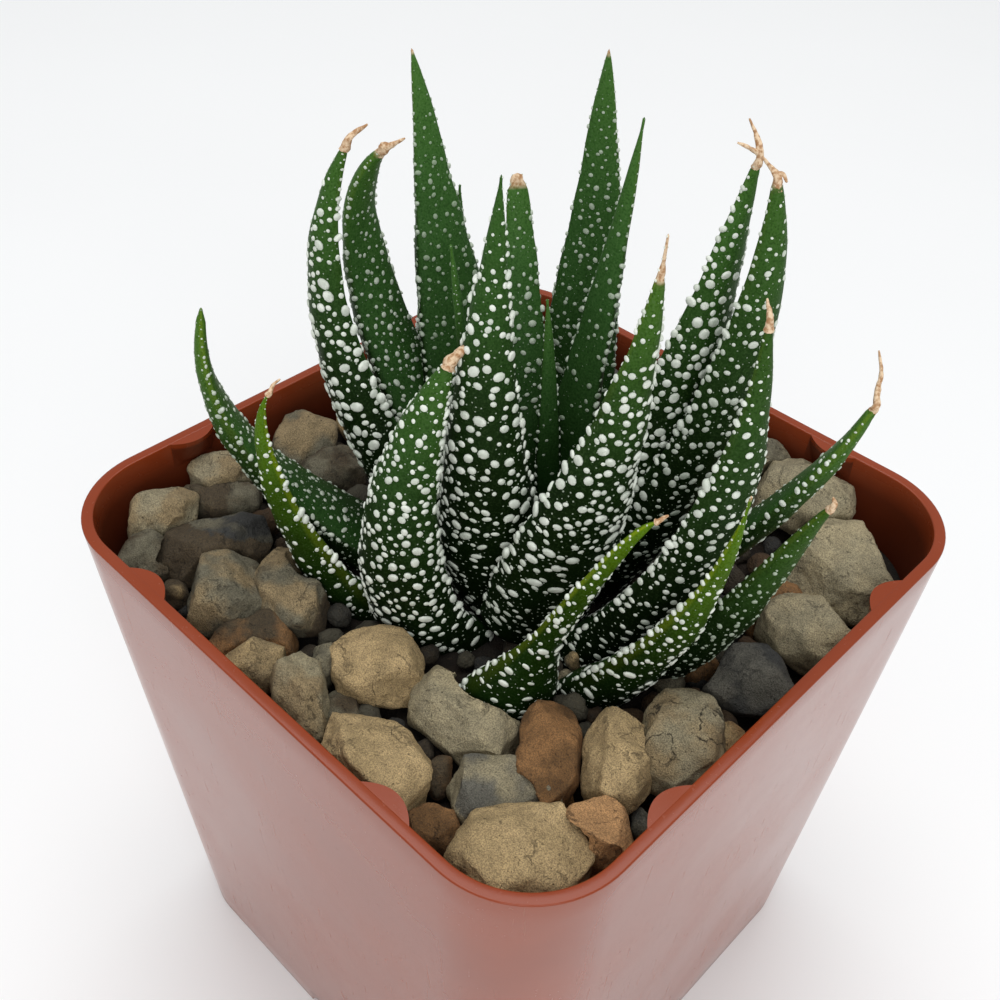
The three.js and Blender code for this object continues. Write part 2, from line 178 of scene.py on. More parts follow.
def new_group(name, inputs):
    """A Geometry Nodes tree with named inputs, and the pins of those inputs."""
    group = bpy.data.node_groups.new(name, "GeometryNodeTree")
    group.interface.new_socket("Geometry", in_out="INPUT", socket_type="NodeSocketGeometry")
    group.interface.new_socket("Geometry", in_out="OUTPUT", socket_type="NodeSocketGeometry")
    for label, kind in inputs.items():
        group.interface.new_socket(label, in_out="INPUT", socket_type="NodeSocket" + kind)
    tree = GeometryTree(group)
    entry = tree.add("NodeGroupInput")
    return group, tree, {label: entry.out(label) for label in ("Geometry", *inputs)}


# %% A helper for finishes
class Finish(Tree):
    """A material's tree, with its Principled node and the piece's own coordinates."""

    def __init__(self, name, ior=1.45):
        self.material = bpy.data.materials.new(name)
        self.material.use_nodes = True
        super().__init__(self.material.node_tree)
        self.surface = self.tree.nodes["Principled BSDF"]
        self.surface.inputs["IOR"].default_value = ior
        self.place = self.add("ShaderNodeTexCoord", out="Object")

    def bumps(self, height, depth, strength=1.0):
        """A Bump node: height from 0 to 1, and depth in metres."""
        inputs = {"Height": height, "Distance": depth, "Strength": strength}
        return self.add("ShaderNodeBump", None, inputs)

    def plug(self, base, roughness, normal=None, coat=None):
        """The material, with what varies over the surface linked, and what doesn't set."""
        names = ("Base Color", "Roughness", "Normal", "Coat Weight")
        for name, value in zip(names, (base, roughness, normal, coat)):
            if isinstance(value, Pin):
                self.tree.links.new(value.socket, self.surface.inputs[name])
            elif value is not None:
                self.surface.inputs[name].default_value = value
        return self.material


# %% [markdown]
# ## The camera
# The photograph looks down on the pot from about 41 degrees, with a corner towards the lens. The
# camera is built from those angles, so that the render can be laid over the photograph. Its axes
# are worked out from the line of sight, and then rolled a little, as the photograph is.

# %% Place the camera
CAMERA_PLACE = Vector((54.35, -61.70, 136.51)) * MM
CAMERA_TARGET = Vector((-2.19, -0.19, 62.86)) * MM
CAMERA_ROLL = math.radians(2.66)
SENSOR = 36.0  # millimetres
LENS = 41.64

ahead = (CAMERA_TARGET - CAMERA_PLACE).normalized()
right = ahead.cross(Vector((0, 0, 1))).normalized()
up = right.cross(ahead)
roll_cos = math.cos(CAMERA_ROLL)
roll_sin = math.sin(CAMERA_ROLL)
right, up = right * roll_cos + up * roll_sin, up * roll_cos - right * roll_sin

camera = bpy.data.objects.new("camera", bpy.data.cameras.new("camera"))
camera.data.lens = LENS
camera.data.sensor_width = SENSOR
camera.data.clip_start = 0.005
camera.data.clip_end = 20
camera.matrix_world = Matrix.LocRotScale(
    CAMERA_PLACE, Matrix((right, up, -ahead)).transposed().to_quaternion(), None)
bpy.context.scene.collection.objects.link(camera)
bpy.context.scene.camera = camera
print("camera looks down by", round(math.degrees(math.asin(-ahead.z)), 1), "degrees")

# %% [markdown]
# ## Meshes from rings
# Most pieces here are lofts: a row of rings with the same number of points, closed at both ends.
# One function builds them all, and one turns the result into an object that rides on the frame's
# body. Faces are listed so that they point outwards when the rings run along +Z and each ring runs
# counterclockwise seen from above.

# %% Helpers that make meshes
def new_object(name, points, faces, smooth=True):
    mesh = bpy.data.meshes.new(name)
    mesh.from_pydata(points, [], faces)
    mesh.polygons.foreach_set("use_smooth", [smooth] * len(mesh.polygons))
    mesh.update()
    obj = bpy.data.objects.new(name, mesh)
    bpy.context.scene.collection.objects.link(obj)
    return obj


def loft_faces(rows, count):
    """Faces of a loft of rows rings, whose end points follow the last ring."""
    start, end = rows * count, rows * count + 1
    last = (rows - 1) * count
    faces = []
    for i in range(count):
        j = (i + 1) % count
        faces.append((start, j, i))
        faces.append((end, last + i, last + j))
        for row in range(rows - 1):
            a = row * count
            faces.append((a + i, a + j, a + count + j, a + count + i))
    return faces


def circle(count):
    """The cosine and sine of each of count even steps round a circle."""
    angles = [2 * math.pi * i / count for i in range(count)]
    return [(math.cos(angle), math.sin(angle)) for angle in angles]


def loft(name, rings, start, end):
    """A loft of the rings, closed at the points start and end."""
    points = [point for ring in rings for point in ring]
    return new_object(name, points + [start, end], loft_faces(len(rings), len(rings[0])))


def from_bmesh(name, mesh, collection=bpy.context.scene.collection):
    """An object made from a bmesh, which is then freed."""
    data = bpy.data.meshes.new(name)
    mesh.to_mesh(data)
    mesh.free()
    obj = bpy.data.objects.new(name, data)
    collection.objects.link(obj)
    return obj


def store_values(obj, name, values, kind="FLOAT", domain="POINT"):
    """Stores a value, or the parts of a vector, on each point or edge of the mesh."""
    part = "vector" if kind == "FLOAT_VECTOR" else "value"
    obj.data.attributes.new(name, kind, domain).data.foreach_set(part, values)


def triangles(objects):
    return sum(len(polygon.vertices) - 2 for obj in objects for polygon in obj.data.polygons)


# %% Helpers that finish a piece
def baked(obj):
    """The object with its modifiers worked into its mesh."""
    depsgraph = bpy.context.evaluated_depsgraph_get()
    mesh = bpy.data.meshes.new_from_object(obj.evaluated_get(depsgraph))
    obj.modifiers.clear()
    obj.data = mesh
    return obj


def dress(obj, group, **values):
    """Works a Geometry Nodes tree, with values for its named inputs, into the object's mesh."""
    values = {name.replace("_", " "): value for name, value in values.items()}
    modifier = obj.modifiers.new(group.name, "NODES")
    modifier.node_group = group
    for item in group.interface.items_tree:
        if item.item_type == "SOCKET" and item.in_out == "INPUT" and item.name in values:
            modifier[item.identifier] = values[item.name]
    return baked(obj)


def paint(obj, finish):
    """Gives the whole object one finish."""
    obj.data.materials.clear()
    obj.data.materials.append(finish)
    obj.data.polygons.foreach_set("material_index", [0] * len(obj.data.polygons))


def fasten(obj, node=None):
    """Makes the object ride on the frame, and stand for its node if it has one."""
    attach(obj, "root")
    if node:
        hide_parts(node)
    return obj


# %% [markdown]
# ## The leaves' shape
# A leaf's middle line is a cubic curve that rises and leans out from the rosette's axis. Its
# outer face is rounded and its inner face nearly flat. The table holds, for each leaf, the same
# sizes as the solids, and then its looks: how many warts its outer and inner face carry, how large
# they are, how yellow it is, from where along it the warts give out and its tip is dry, how white
# its warts are, and how far painted shade darkens its flesh. The leaves could be sculpted one by
# one, but a table keeps each one easy to set against the photograph.

# %% The rosette's table
AXIS = (2, 1)  # where most of the leaves stand
TAPER = 0.7
LEAVES = {
    # azimuth, reach, height, width, turn, root, taper,
    # outer, inner, size, young, bare, dry, milk, tone, which is the painted shade on the flesh
    "centre": ((150, (0, 2, 2, 4.5), (65, 70.5, 77.5, 84), 2.8, 0, (2.5, 1.5), TAPER),
        (0.3, 0.3, 0.45, 0.2, 0.95, 1, 0.5, 1)),
    "young": ((226, (1, 7, 7.5, 8.7), (62, 72.5, 82, 91.5), 3.4, 0, AXIS, 0.8),
        (0.5, 0.3, 0.45, 0.1, 0.95, 1, 0.5, 1)),
    "inner_front": ((262, (3, 8.5, 7, 6.3), (55, 67.5, 85, 99.2), 13, 38, AXIS, 1),
        (0.8, 0.3, 1, 0.05, 1.15, 1, 1, 0.8)),
    "inner_back": ((146, (2, 5.5, 12, 16), (62, 72, 80, 90), 4.6, 0, AXIS, 0.3),
        (1, 0.8, 0.7, 0.15, 1.3, 0.965, 0.5, 1)),
    "inner_slim": ((158, (3, 16, 21.5, 21), (57, 64, 77, 87), 5, 0, AXIS, 0.8),
        (0.8, 0.4, 0.7, 0.1, 0.95, 1, 0.4, 1)),
    "inner_right": ((88, (2, 2.5, 7, 8.5), (61, 74.5, 86.5, 99.7), 7, 0, AXIS, 0.95),
        (0.6, 0.35, 0.6, 0.15, 1.3, 1, 0.35, 1)),
    "tall_back": ((117, (5, 11, 14, 11.5), (60, 72, 87, 103), 10.4, 0, AXIS, 0.75),
        (1, 0.9, 0.6, 0.15, 1.35, 0.99, 0.5, 1)),
    "tall_left": ((168, (3, 17.5, 17, 23), (60, 69.5, 86, 99.5), 12.4, 0, AXIS, 0.85),
        (1, 0.85, 0.62, 0.15, 1.2, 0.99, 0.3, 1)),
    "broad_right": ((8, (0, 4, 8.5, 8.5), (57, 72, 85, 99), 13.5, -38, (6, -4), 1.2),
        (1, 0.3, 0.98, 0.3, 0.92, 0.91, 1, 1)),
    "tall_right": ((46, (3, 10.7, 12, 14.4), (57, 70, 85, 99.5), 13.2, -55, AXIS, 0.82),
        (1, 0.4, 1, 0.1, 1.1, 0.985, 1, 1)),
    "dry_left": ((186, (3, 13.5, 28.5, 18.5), (59, 64, 84, 94), 9.5, 0, AXIS, 0.6),
        (1, 0.8, 0.62, 0.2, 1.25, 0.975, 0.6, 1)),
    "dry_right": ((33, (4, 12, 17.8, 15.3), (54, 67.5, 85, 99.5), 9.7, -50, AXIS, 0.62),
        (0.8, 0.5, 0.8, 0.15, 1.35, 0.98, 0.85, 0.82)),
    "curved_right": ((8, (3.5, 15, 19.3, 17.6), (52, 62, 79.5, 94.5), 13.2, -25, (4, -2), 0.92),
        (0.85, 0.4, 0.82, 0.2, 1.4, 0.985, 1, 0.62)),
    "curved_left": ((205, (3, 19, 24.5, 17.9), (56, 64, 84.5, 97.2), 12, 60, AXIS, 0.85),
        (0.75, 0.4, 1.05, 0.15, 1.3, 0.972, 1, 0.9)),
    "broad_front": ((256, (3, 19.5, 15.5, 9.8), (50, 54, 75.5, 84), 12.8, 35, AXIS, TAPER),
        (0.85, 0.4, 0.95, 0.15, 1.4, 0.98, 1, 0.76)),
    "low_front": ((5, (7, 15.3, 20.3, 20.6), (51.5, 61.6, 72.3, 83.5), 10.6, -30, (5, -6), 1.3),
        (0.8, 0.4, 0.78, 0.7, 1.35, 0.99, 1, 1)),
    "low_left": ((218, (4, 16, 27, 24.3), (56, 60.5, 70, 83.2), 10.5, 20, (-2, -3), 0.78),
        (1, 1, 0.6, 0.35, 1.35, 1, 0.6, 1)),
    "side_left": ((236, (4, 10, 19.5, 15), (52.5, 50, 75, 80), 10, 42, (-3, -6), 1.15),
        (0.6, 0.5, 0.75, 0.7, 1.1, 0.985, 1, 1)),
    "long_right": ((34, (4, 13.5, 20.5, 23), (55, 66.4, 75.6, 83.6), 7.2, -20, (7, -1), 0.66),
        (0.6, 0.5, 0.55, 0.3, 1.2, 0.985, 0.8, 1)),
    "low_right": ((16, (4, 16, 18, 22.5), (51.5, 57, 70, 80.2), 8.2, -45, (7, -3), 0.75),
        (0.9, 0.4, 0.55, 0.3, 1.3, 0.985, 0.45, 0.62)),
    "bulb_front": ((30, (0, 3.4, 9.9, 12), (54, 61.2, 78.6, 79.3), 3.9, -60, (9.8, -13.2), 0.85),
        (1, 1, 0.78, 0.85, 0.85, 0.985, 1, 1)),
    "back_left": ((166, (2, 18, 23, 20.5), (54, 57, 70, 82), 9, 0, AXIS, TAPER),
        (0.9, 0.6, 0.9, 0.2, 0.95, 1, 1, 1)),
    "back": ((130, (2, 16, 19, 19), (54, 56, 66, 74), 9, 0, AXIS, TAPER),
        (0.9, 0.6, 0.9, 0.2, 0.95, 1, 1, 1)),
    "back_right": ((82, (2, 18, 20, 20), (54, 56, 65, 73), 9, 0, AXIS, TAPER),
        (0.9, 0.6, 0.9, 0.2, 0.95, 1, 1, 1)),
}
SWELLS = {"bulb_front": 3.1}  # how far a bulb near the seat stands out on each side
SWELL_AT = 0.1
SWELL_SPREAD = 0.17
print("leaves:", len(LEAVES))


# %% The leaf's curve and its width
LEAF_END = 0.995  # where the last ring lies along the curve
TIP_HALF = 0.12 * MM


def bezier(points, t):
    """A cubic curve's point and direction at t."""
    a, b, c, d = points
    s = 1 - t
    place = a * s**3 + b * (3 * s * s * t) + c * (3 * s * t * t) + d * t**3
    run = (b - a) * (s * s) + (c - b) * (2 * s * t) + (d - c) * (t * t)
    return place, run.normalized()


def leaf_line(azimuth, reach, height, root):
    """The four points that shape the curve: reach out from the root, and height, in mm."""
    angle = math.radians(azimuth)
    outwards = Vector((math.cos(angle), math.sin(angle), 0))
    start = Vector((root[0], root[1], 0))
    return [(start + outwards * r + Vector((0, 0, h))) * MM for r, h in zip(reach, height)]


def line_length(line, steps=40):
    """The curve's length, measured along short straight steps."""
    spots = [bezier(line, i / steps)[0] for i in range(steps + 1)]
    return sum((a - b).length for a, b in zip(spots, spots[1:]))


def half_width(t, width, taper, swell):
    """Half a leaf's width at t: it widens from its seat, tapers, and may have a bulb."""
    bulb = swell * math.exp(-(((t - SWELL_AT) / SWELL_SPREAD) ** 2))
    return max((width / 2 * min(1, 0.8 + t) * (1 - t) ** taper + bulb) * MM, TIP_HALF)


def smooth_step(low, high, value):
    share = min(1, max(0, (value - low) / (high - low)))
    return share * share * (3 - 2 * share)


# %% The leaf's rings, with what its warts and its finish read
LEAF_COLUMNS = 40
ROW_STEP = 0.42 * MM
KEEL_SHARE = 0.8  # depth of the outer face, as a share of half the width
INNER_SHARE = 0.25
LEAST_DEPTH = 0.4 * MM  # so that a leaf isn't thin as paper near its tip
BAND_STEP = 1.35 * MM  # from one cross row of warts to the next, near the leaf's base
SWAY = 260  # low waves in the skin, per metre
CRINKLE = 2600  # and the wrinkles of a dry tip
ROW_DRIFT = 150  # and the waves in the cross rows
# Each point stores where it is (along, side, outer), how many large, small and tiny warts grow
# there, how plump they are and how much they lie in cross rows (band), and what the finish reads.
FIELDS = ("along", "side", "outer", "large", "small", "speck", "plump", "young", "band", "dry",
          "milk", "tone")


def wart_shares(t, cos, sin, looks, rows_here):
    """How many large, small and tiny warts there are at t, on the side that cos and sin give."""
    outer_share, inner_share, _, _, bare, dry, _, _ = looks
    # the inner face carries fewer than the outer one, except close to the margins
    face = outer_share if sin > 0.05 else max(inner_share, outer_share * abs(cos) ** 6)
    thin_out = 1 - smooth_step(bare - 0.45, bare + 0.05, t)
    wet = 0 if t > min(bare, dry) else 1
    large = face * min(1, 0.3 + 2.5 * t) * (0.16 + 0.84 * thin_out) * rows_here * wet
    small = min(1, face * (0.45 + 0.65 * thin_out)) * rows_here * wet
    return large, small, face * (0.3 + 0.7 * thin_out) * 0.6 * wet


def leaf_body(name, shape, looks, swell):
    """The leaf's smooth body, with the attributes that its warts and its finish read."""
    azimuth, reach, height, width, turn, root, taper = shape
    _, _, size, young, _, dry, milk, tone = looks
    line = leaf_line(azimuth, reach, height, root)
    length = line_length(line)
    row_count = round(length / ROW_STEP)
    facing = math.radians(azimuth + turn)
    level = Vector((-math.sin(facing), math.cos(facing), 0))
    rings, fields, runs, outs = [], [], [], []
    for row in range(row_count + 1):
        t = row / row_count * LEAF_END
        centre, run = bezier(line, t)
        side = (level - run * level.dot(run)).normalized()
        out = side.cross(run)
        withered = smooth_step(dry - 0.004, dry + 0.006, t)
        half = half_width(t, width, taper, swell) * (1 - 0.15 * withered)
        plump = size * (0.66 + 0.34 * min(1, 3 * t)) * min(1, half / (1.6 * MM) + 0.25)
        plump *= 1 - 0.45 * smooth_step(0.6, 1, t)
        banded = 1 - smooth_step(0.2, 0.5, t)
        ring = []
        for cos, sin in circle(LEAF_COLUMNS):
            depth = max(half * (KEEL_SHARE if sin >= 0 else INNER_SHARE), min(half, LEAST_DEPTH))
            place = centre + side * (half * cos) + out * (depth * sin)
            wave = noise.noise(place * SWAY) * min(0.25 * MM, half * 0.12)
            wave += noise.noise(place * CRINKLE) * half * 0.4 * withered
            normal = (side * (cos * depth) + out * (sin * half)).normalized()
            beat = t * length / BAND_STEP + 0.6 * noise.noise(place * ROW_DRIFT)
            rows_here = 1 - 0.45 * banded * (1 - math.cos(2 * math.pi * beat))
            ring.append(place + normal * wave)
            runs.append(run)
            outs.append(normal)
            fields.append((t, cos, sin, *wart_shares(t, cos, sin, looks, rows_here),
                           plump, young, banded, withered, milk, tone))
        rings.append(ring)
    obj = loft(name, rings, line[0], line[3])
    fields += [fields[0], fields[-1]]  # for the two points that close the loft
    for key, values in zip(FIELDS, zip(*fields)):
        store_values(obj, key, list(values))
    for key, vectors in (("run", runs + [runs[0], run]), ("out", outs + [-runs[0], run])):
        store_values(obj, key, [part for vector in vectors for part in vector], "FLOAT_VECTOR")
    edges = [margin_edge(edge, len(rings) * LEAF_COLUMNS) for edge in obj.data.edges]
    store_values(obj, "margin", edges, "BOOLEAN", "EDGE")
    return obj


def margin_edge(edge, ends):
    """True for an edge that runs along one of the leaf's two margins."""
    a, b = edge.vertices
    column = a % LEAF_COLUMNS
    return column == b % LEAF_COLUMNS and column in (0, LEAF_COLUMNS // 2) and a < ends and b < ends


# %% [markdown]
# ## The warts
# Each leaf carries hundreds of raised warts, white on most leaves and greener on some, so they are
# instances that Geometry Nodes scatter. There are four kinds: large ones, small ones between them,
# specks in what room is left, and a row along each margin. Each kind keeps away from those before
# it, which a Proximity node measures, so that dark leaf shows between them as on the plant. Once
# they are real geometry, a noise pushes their outlines out of round.

# %% One wart, a low pillow
SUNK = 0.35  # how deep a wart of radius 1 goes into the leaf


def wart_mesh(name, count, profile):
    """A closed pillow of radius 1, sunk a little so that no gap shows on a curved leaf."""
    rings = [[(radius * cos, radius * sin, height) for cos, sin in circle(count)]
             for radius, height in profile]
    return loft(name, rings, (0, 0, -SUNK), (0, 0, 0.56))


wart = wart_mesh("wart", 9, [(0.92, -SUNK), (1.0, 0.08), (0.88, 0.36), (0.5, 0.52)])
speck = wart_mesh("speck", 5, [(0.95, -SUNK), (0.8, 0.4)])
print("triangles in a wart:", triangles([wart]))

# %% The points that the warts grow on
WARTS = {
    # least spacing and largest radius in mm, and its whiteness: a share of its leaf's, and an extra
    "Large": (1.14, 0.54, 1.0, 0.0),
    "Small": (0.72, 0.34, 1.0, 0.0),
    "Speck": (0.42, 0.11, 0.45, 0.0),
    "Margin": (0.85, 0.55, 0.6, 0.4),
}
LEAST_WART = 0.62  # the smallest radius of a kind, as a share of its largest
MARGIN_GAPS = 0.12  # the share of a margin's warts that are missing
wart_sizes = {}
for kind, (spacing, radius, _, _) in WARTS.items():
    wart_sizes[kind + " Spacing"] = spacing * MM
    wart_sizes[kind + " Radius"] = radius * MM


def wart_points(tree, pin, kind, seed):
    """One kind's points, each with its radius and its whiteness."""
    spacing = pin[f"{kind} Spacing"]
    largest = pin[f"{kind} Radius"]
    if kind == "Margin":
        margins = tree.named("margin", "BOOLEAN")
        line = tree.geometry("MeshToCurve", Mesh=pin["Geometry"], Selection=margins)
        line = tree.geometry("ResampleCurve", {"mode": "LENGTH"}, Curve=line, Length=spacing)
        points = tree.geometry("CurveToPoints", {"mode": "EVALUATED"}, Curve=line)
    else:
        points = tree.geometry(
            "DistributePointsOnFaces", {"distribute_method": "POISSON"}, Mesh=pin["Geometry"],
            Distance_Min=spacing, Density_Max=1.6 / (spacing * spacing),
            Density_Factor=tree.named(kind.lower()), Seed=seed)
    radius = tree.between(largest * LEAST_WART, largest, seed) * tree.named("plump")
    points = tree.store(points, "radius", radius)
    _, _, share, extra = WARTS[kind]
    points = tree.store(points, "milk", tree.named("milk") * share + extra)
    if kind == "Margin":
        points = tree.without(points, tree.between(0.0, 1.0, seed + 5) < MARGIN_GAPS)
    return points


# %% The tree that grows them
def wart_tree():
    inputs = {label: "Float" for label in wart_sizes}
    inputs.update({"Wart": "Object", "Tiny Wart": "Object", "Seed": "Int"})
    inputs.update({"Leaf Finish": "Material", "Wart Finish": "Material"})
    group, tree, pin = new_group("grow warts", inputs)
    named, between = tree.named, tree.between
    rotation = tree.add("FunctionNodeAxesToRotation", {"primary_axis": "Z", "secondary_axis": "Y"},
                        {0: named("out", "FLOAT_VECTOR"), 1: named("run", "FLOAT_VECTOR")})
    radius = named("radius")
    grown = None
    for number, kind in enumerate(WARTS):
        seed = pin["Seed"] * 10 + number
        points = wart_points(tree, pin, kind, seed)
        if grown is not None:
            near = tree.add("GeometryNodeProximity", None, {0: grown}, out="Distance")
            points = tree.without(points, near < radius * (0.5 if kind == "Margin" else 0.8))
        if kind == "Margin":
            wide, deep, proud = 0.85, between(0.85, 1.4, seed + 9), 1.5
        else:
            wide = named("band") * between(0.0, 1.0, seed + 6) * 0.9 + between(0.85, 1.25, seed + 9)
            deep, proud = 0.9, 0.85
        tall = radius * between(0.75, 1.0, seed + 7) * proud
        swing = between(-1.3, 1.3, seed + 8) * (1.25 - named("band"))
        turn = tree.add("FunctionNodeEulerToRotation", None, {0: tree.combine(0.0, 0.0, swing)})
        turned = tree.add("FunctionNodeRotateRotation", {"rotation_space": "LOCAL"},
                          {0: rotation, 1: turn})
        pattern = pin["Tiny Wart" if kind == "Speck" else "Wart"]
        pattern = tree.geometry("ObjectInfo", out="Geometry", Object=pattern)
        warts = tree.geometry("InstanceOnPoints", Points=points, Instance=pattern, Rotation=turned,
                              Scale=tree.combine(radius * wide, radius * deep, tall))
        warts = tree.geometry("RealizeInstances", Geometry=warts)
        grown = warts if grown is None else tree.join(grown, warts)
    push = tree.noise(0.45 * MM, 1.0, place=tree.geometry("InputPosition"), out="Color")
    push = tree.vector("SCALE", tree.vector("SUBTRACT", push, (0.5, 0.5, 0.5)), radius * 2.2)
    grown = tree.geometry("SetPosition", Geometry=grown, Offset=push)
    grown = tree.painted(grown, pin["Wart Finish"])
    body = tree.painted(pin["Geometry"], pin["Leaf Finish"])
    tree.add("NodeGroupOutput", None, {0: tree.join(body, grown)})
    return group


grow_warts = wart_tree()
print("nodes that grow warts:", len(grow_warts.nodes))

# %% [markdown]
# ## The leaves' finishes
# The flesh is deep green at the base and lighter towards the tip, and on a young leaf it turns
# yellow-green. Near the base it is darkened almost to black, partly its own deep green and partly
# painted shade, and some whole leaves are darkened further as painted shade. Under a lens its skin
# is granular, so a fine noise is both a bump and a faint speckle. The warts are pearly, as white as
# their leaf's own value says, and duller near the base, which is painted shade.

# %% Flesh and wart finishes
def flesh_finish():
    tree = Finish("leaf flesh", ior=1.13)
    along, young, outer, side = map(tree.attribute, ("along", "young", "outer", "side"))
    cloud = tree.noise(3.5 * MM, 3.0)
    grain = tree.noise(0.18 * MM)
    streak = tree.noise(1, place=tree.combine(along * 12, side * 11, outer * 3))
    # the flesh darkens almost to black towards the leaf's base: partly its own deeper green, partly
    # painted shade
    rise = (along + (cloud - 0.5) * 0.2).ramp(0.0, 1.0) ** 3.0
    green = tree.mix(rise, (0.003, 0.0095, 0.0012), (0.047, 0.135, 0.024))
    fresh = tree.mix(rise, (0.007, 0.026, 0.001), (0.1, 0.2, 0.003))
    pale = tree.mix(along ** 1.3, (0.007, 0.025, 0.005), (0.053, 0.15, 0.032))
    green = tree.mix((outer * -1).ramp(-0.2, 0.5), green, pale)
    ripe = (along + young * 0.9).ramp(0.7, 1.35) * young * 1.2
    base = tree.mix(ripe, green, fresh)
    margin = (side * side).ramp(0.75, 1.0) * ripe * 0.6 * along
    base = tree.mix(margin, base, (0.28, 0.36, 0.01))
    base = tree.mix(streak.ramp(0.5, 0.7) * 0.2 * rise, base, (0.06, 0.15, 0.03))
    base = tree.mix(grain.ramp(0.5, 0.7) * 0.35 * along, base, (0.1, 0.17, 0.065))
    base = tree.mix(grain.ramp(0.5, 0.3) * 0.4, base, (0.004, 0.012, 0.002))
    # tone: painted shade that darkens the whole flesh of some leaves
    base = tree.mix(1.0, base, tree.attribute("tone"), "MULTIPLY")
    base = tree.mix(tree.attribute("dry"), base, husk_colour(tree))
    skin = grain * 0.8 + streak * 0.8
    return tree.plug(base, cloud.ramp(0.2, 0.8, 0.36, 0.5), tree.bumps(skin, 0.06 * MM, 0.6))


def husk_colour(tree):
    """Tan and brown fibres, as of a withered tip."""
    fibre = tree.noise(0.35 * MM, 3.0)
    return tree.mix(fibre.ramp(0.35, 0.62), (0.42, 0.22, 0.1), (0.8, 0.6, 0.4))


def husk_finish():
    tree = Finish("dry tip")
    fibre = tree.noise(0.2 * MM, 3.0)
    return tree.plug(husk_colour(tree), 0.8, tree.bumps(fibre, 0.1 * MM, 0.8))


def wart_finish():
    tree = Finish("wart")
    cloud = tree.noise(0.9 * MM)
    along = tree.attribute("along")
    white = tree.mix(cloud.ramp(0.35, 0.7), (0.62, 0.67, 0.58), (0.86, 0.9, 0.81))
    # green warts darken towards the leaf's base like the flesh, partly as painted shade
    green = tree.mix(along, (0.03, 0.07, 0.018), (0.1, 0.22, 0.06))
    white = tree.mix(tree.attribute("milk"), green, white)
    # painted shade: the warts turn a dull grey near the leaf's base
    base = tree.mix(along.ramp(0.0, 0.4, 0.35, 0.0), white, (0.3, 0.34, 0.26))
    return tree.plug(base, 0.4, tree.bumps(tree.noise(0.12 * MM), 0.02 * MM, 0.4))


leaf_flesh = flesh_finish()
wart_skin = wart_finish()
print("finishes:", leaf_flesh.name, wart_skin.name)

# %% Grow the leaves
def make_leaf(name, seed):
    shape, looks = LEAVES[name]
    obj = leaf_body(f"leaf_{name}_skin", shape, looks, SWELLS.get(name, 0))
    dress(obj, grow_warts, **wart_sizes, Wart=wart, Tiny_Wart=speck, Seed=seed,
          Leaf_Finish=leaf_flesh, Wart_Finish=wart_skin)
    return fasten(obj, "leaf_" + name)


leaves = [make_leaf(name, seed) for seed, name in enumerate(LEAVES)]
for pattern in (wart, speck):
    bpy.data.objects.remove(pattern)
print("triangles in the leaves:", triangles(leaves))

# %% [markdown]
# ## Dry tips
# Some leaves end in a withered thread. Each is a thin wrinkled tube that starts inside its leaf,
# near the end, and bends away from there. A tube of rings is used and not a curve with a bevel,
# because it can be wrinkled and thinned point by point.

# %% Make the dry tips
TIP_COLUMNS = 10
TIP_ROWS = 26
TIP_START = 0.972
TIP_LEAST = 0.07  # the thread's radius at its very end, in mm
DRY_TIPS = [
    # leaf, ending of the name, radius, and each bend's distance right of the leaf's end and above
    ("curved_left", "", 0.36, ((0.6, 0.6), (1.5, 1.2))),
    ("dry_left", "", 0.44, ((0.7, 0.3), (1.7, 0.8))),
    ("tall_right", "", 0.32, ((-0.2, 1.3), (-0.8, 2.8))),
    ("tall_right", "_low", 0.26, ((-0.8, 0.6), (-1.7, 1.0))),
    ("dry_right", "", 0.36, ((-0.4, 0.6), (-1.1, 1.5))),
    ("dry_right", "_low", 0.3, ((0.4, 0.2), (0.7, -0.4))),
    ("curved_right", "", 0.26, ((-0.1, 0.6), (-0.2, 1.3))),
    ("long_right", "", 0.32, ((0.1, 1.2), (0.4, 2.6), (0.2, 4.3))),
    ("low_right", "", 0.28, ((0.0, 0.3), (-0.1, 0.6))),
    ("broad_front", "", 0.55, ((0.7, 0.7), (1.6, 1.5), (2.7, 2.3))),
    ("side_left", "", 0.22, ((0.2, 0.5), (0.8, 1.0))),
    ("bulb_front", "", 0.22, ((0.4, 0.3), (0.8, 0.5))),
]


def spline(points, share):
    """A point at share, from 0 to 1, of a smooth line through the points."""
    spot = share * (len(points) - 1)
    i = min(int(spot), len(points) - 2)
    u = spot - i
    a, b, c, d = (points[min(max(i + k, 0), len(points) - 1)] for k in (-1, 0, 1, 2))
    square = 2 * a - 5 * b + 4 * c - d
    cube = 3 * b - 3 * c + d - a
    return 0.5 * (2 * b + (c - a) * u + square * u * u + cube * u**3)


def dry_tip(leaf, ending, radius, bends):
    azimuth, reach, height, _, _, root, _ = LEAVES[leaf][0]
    line = leaf_line(azimuth, reach, height, root)
    end = bezier(line, LEAF_END)[0]
    path = [bezier(line, TIP_START)[0], end] + [end + (right * x + up * y) * MM for x, y in bends]
    rings = []
    side = Vector((1, 0, 0))
    for row in range(TIP_ROWS):
        share = row / (TIP_ROWS - 1)
        centre = spline(path, share)
        run = spline(path, min(1, share + 0.05)) - spline(path, max(0, share - 0.05))
        run.normalize()
        side = (side - run * side.dot(run)).normalized()
        over = run.cross(side)
        half = radius * (1 - share) ** 0.9 * (1 + 0.3 * noise.noise(centre * 1800)) + TIP_LEAST
        ring = []
        for cos, sin in circle(TIP_COLUMNS):
            way = side * cos + over * sin
            wrinkle = 1 + 0.35 * noise.noise((centre + way * radius * MM) * CRINKLE)
            ring.append(centre + way * (half * wrinkle * MM))
        rings.append(ring)
    obj = loft("dry_tip_" + leaf + ending, rings, path[0], path[-1])
    paint(obj, husk)
    return fasten(obj)


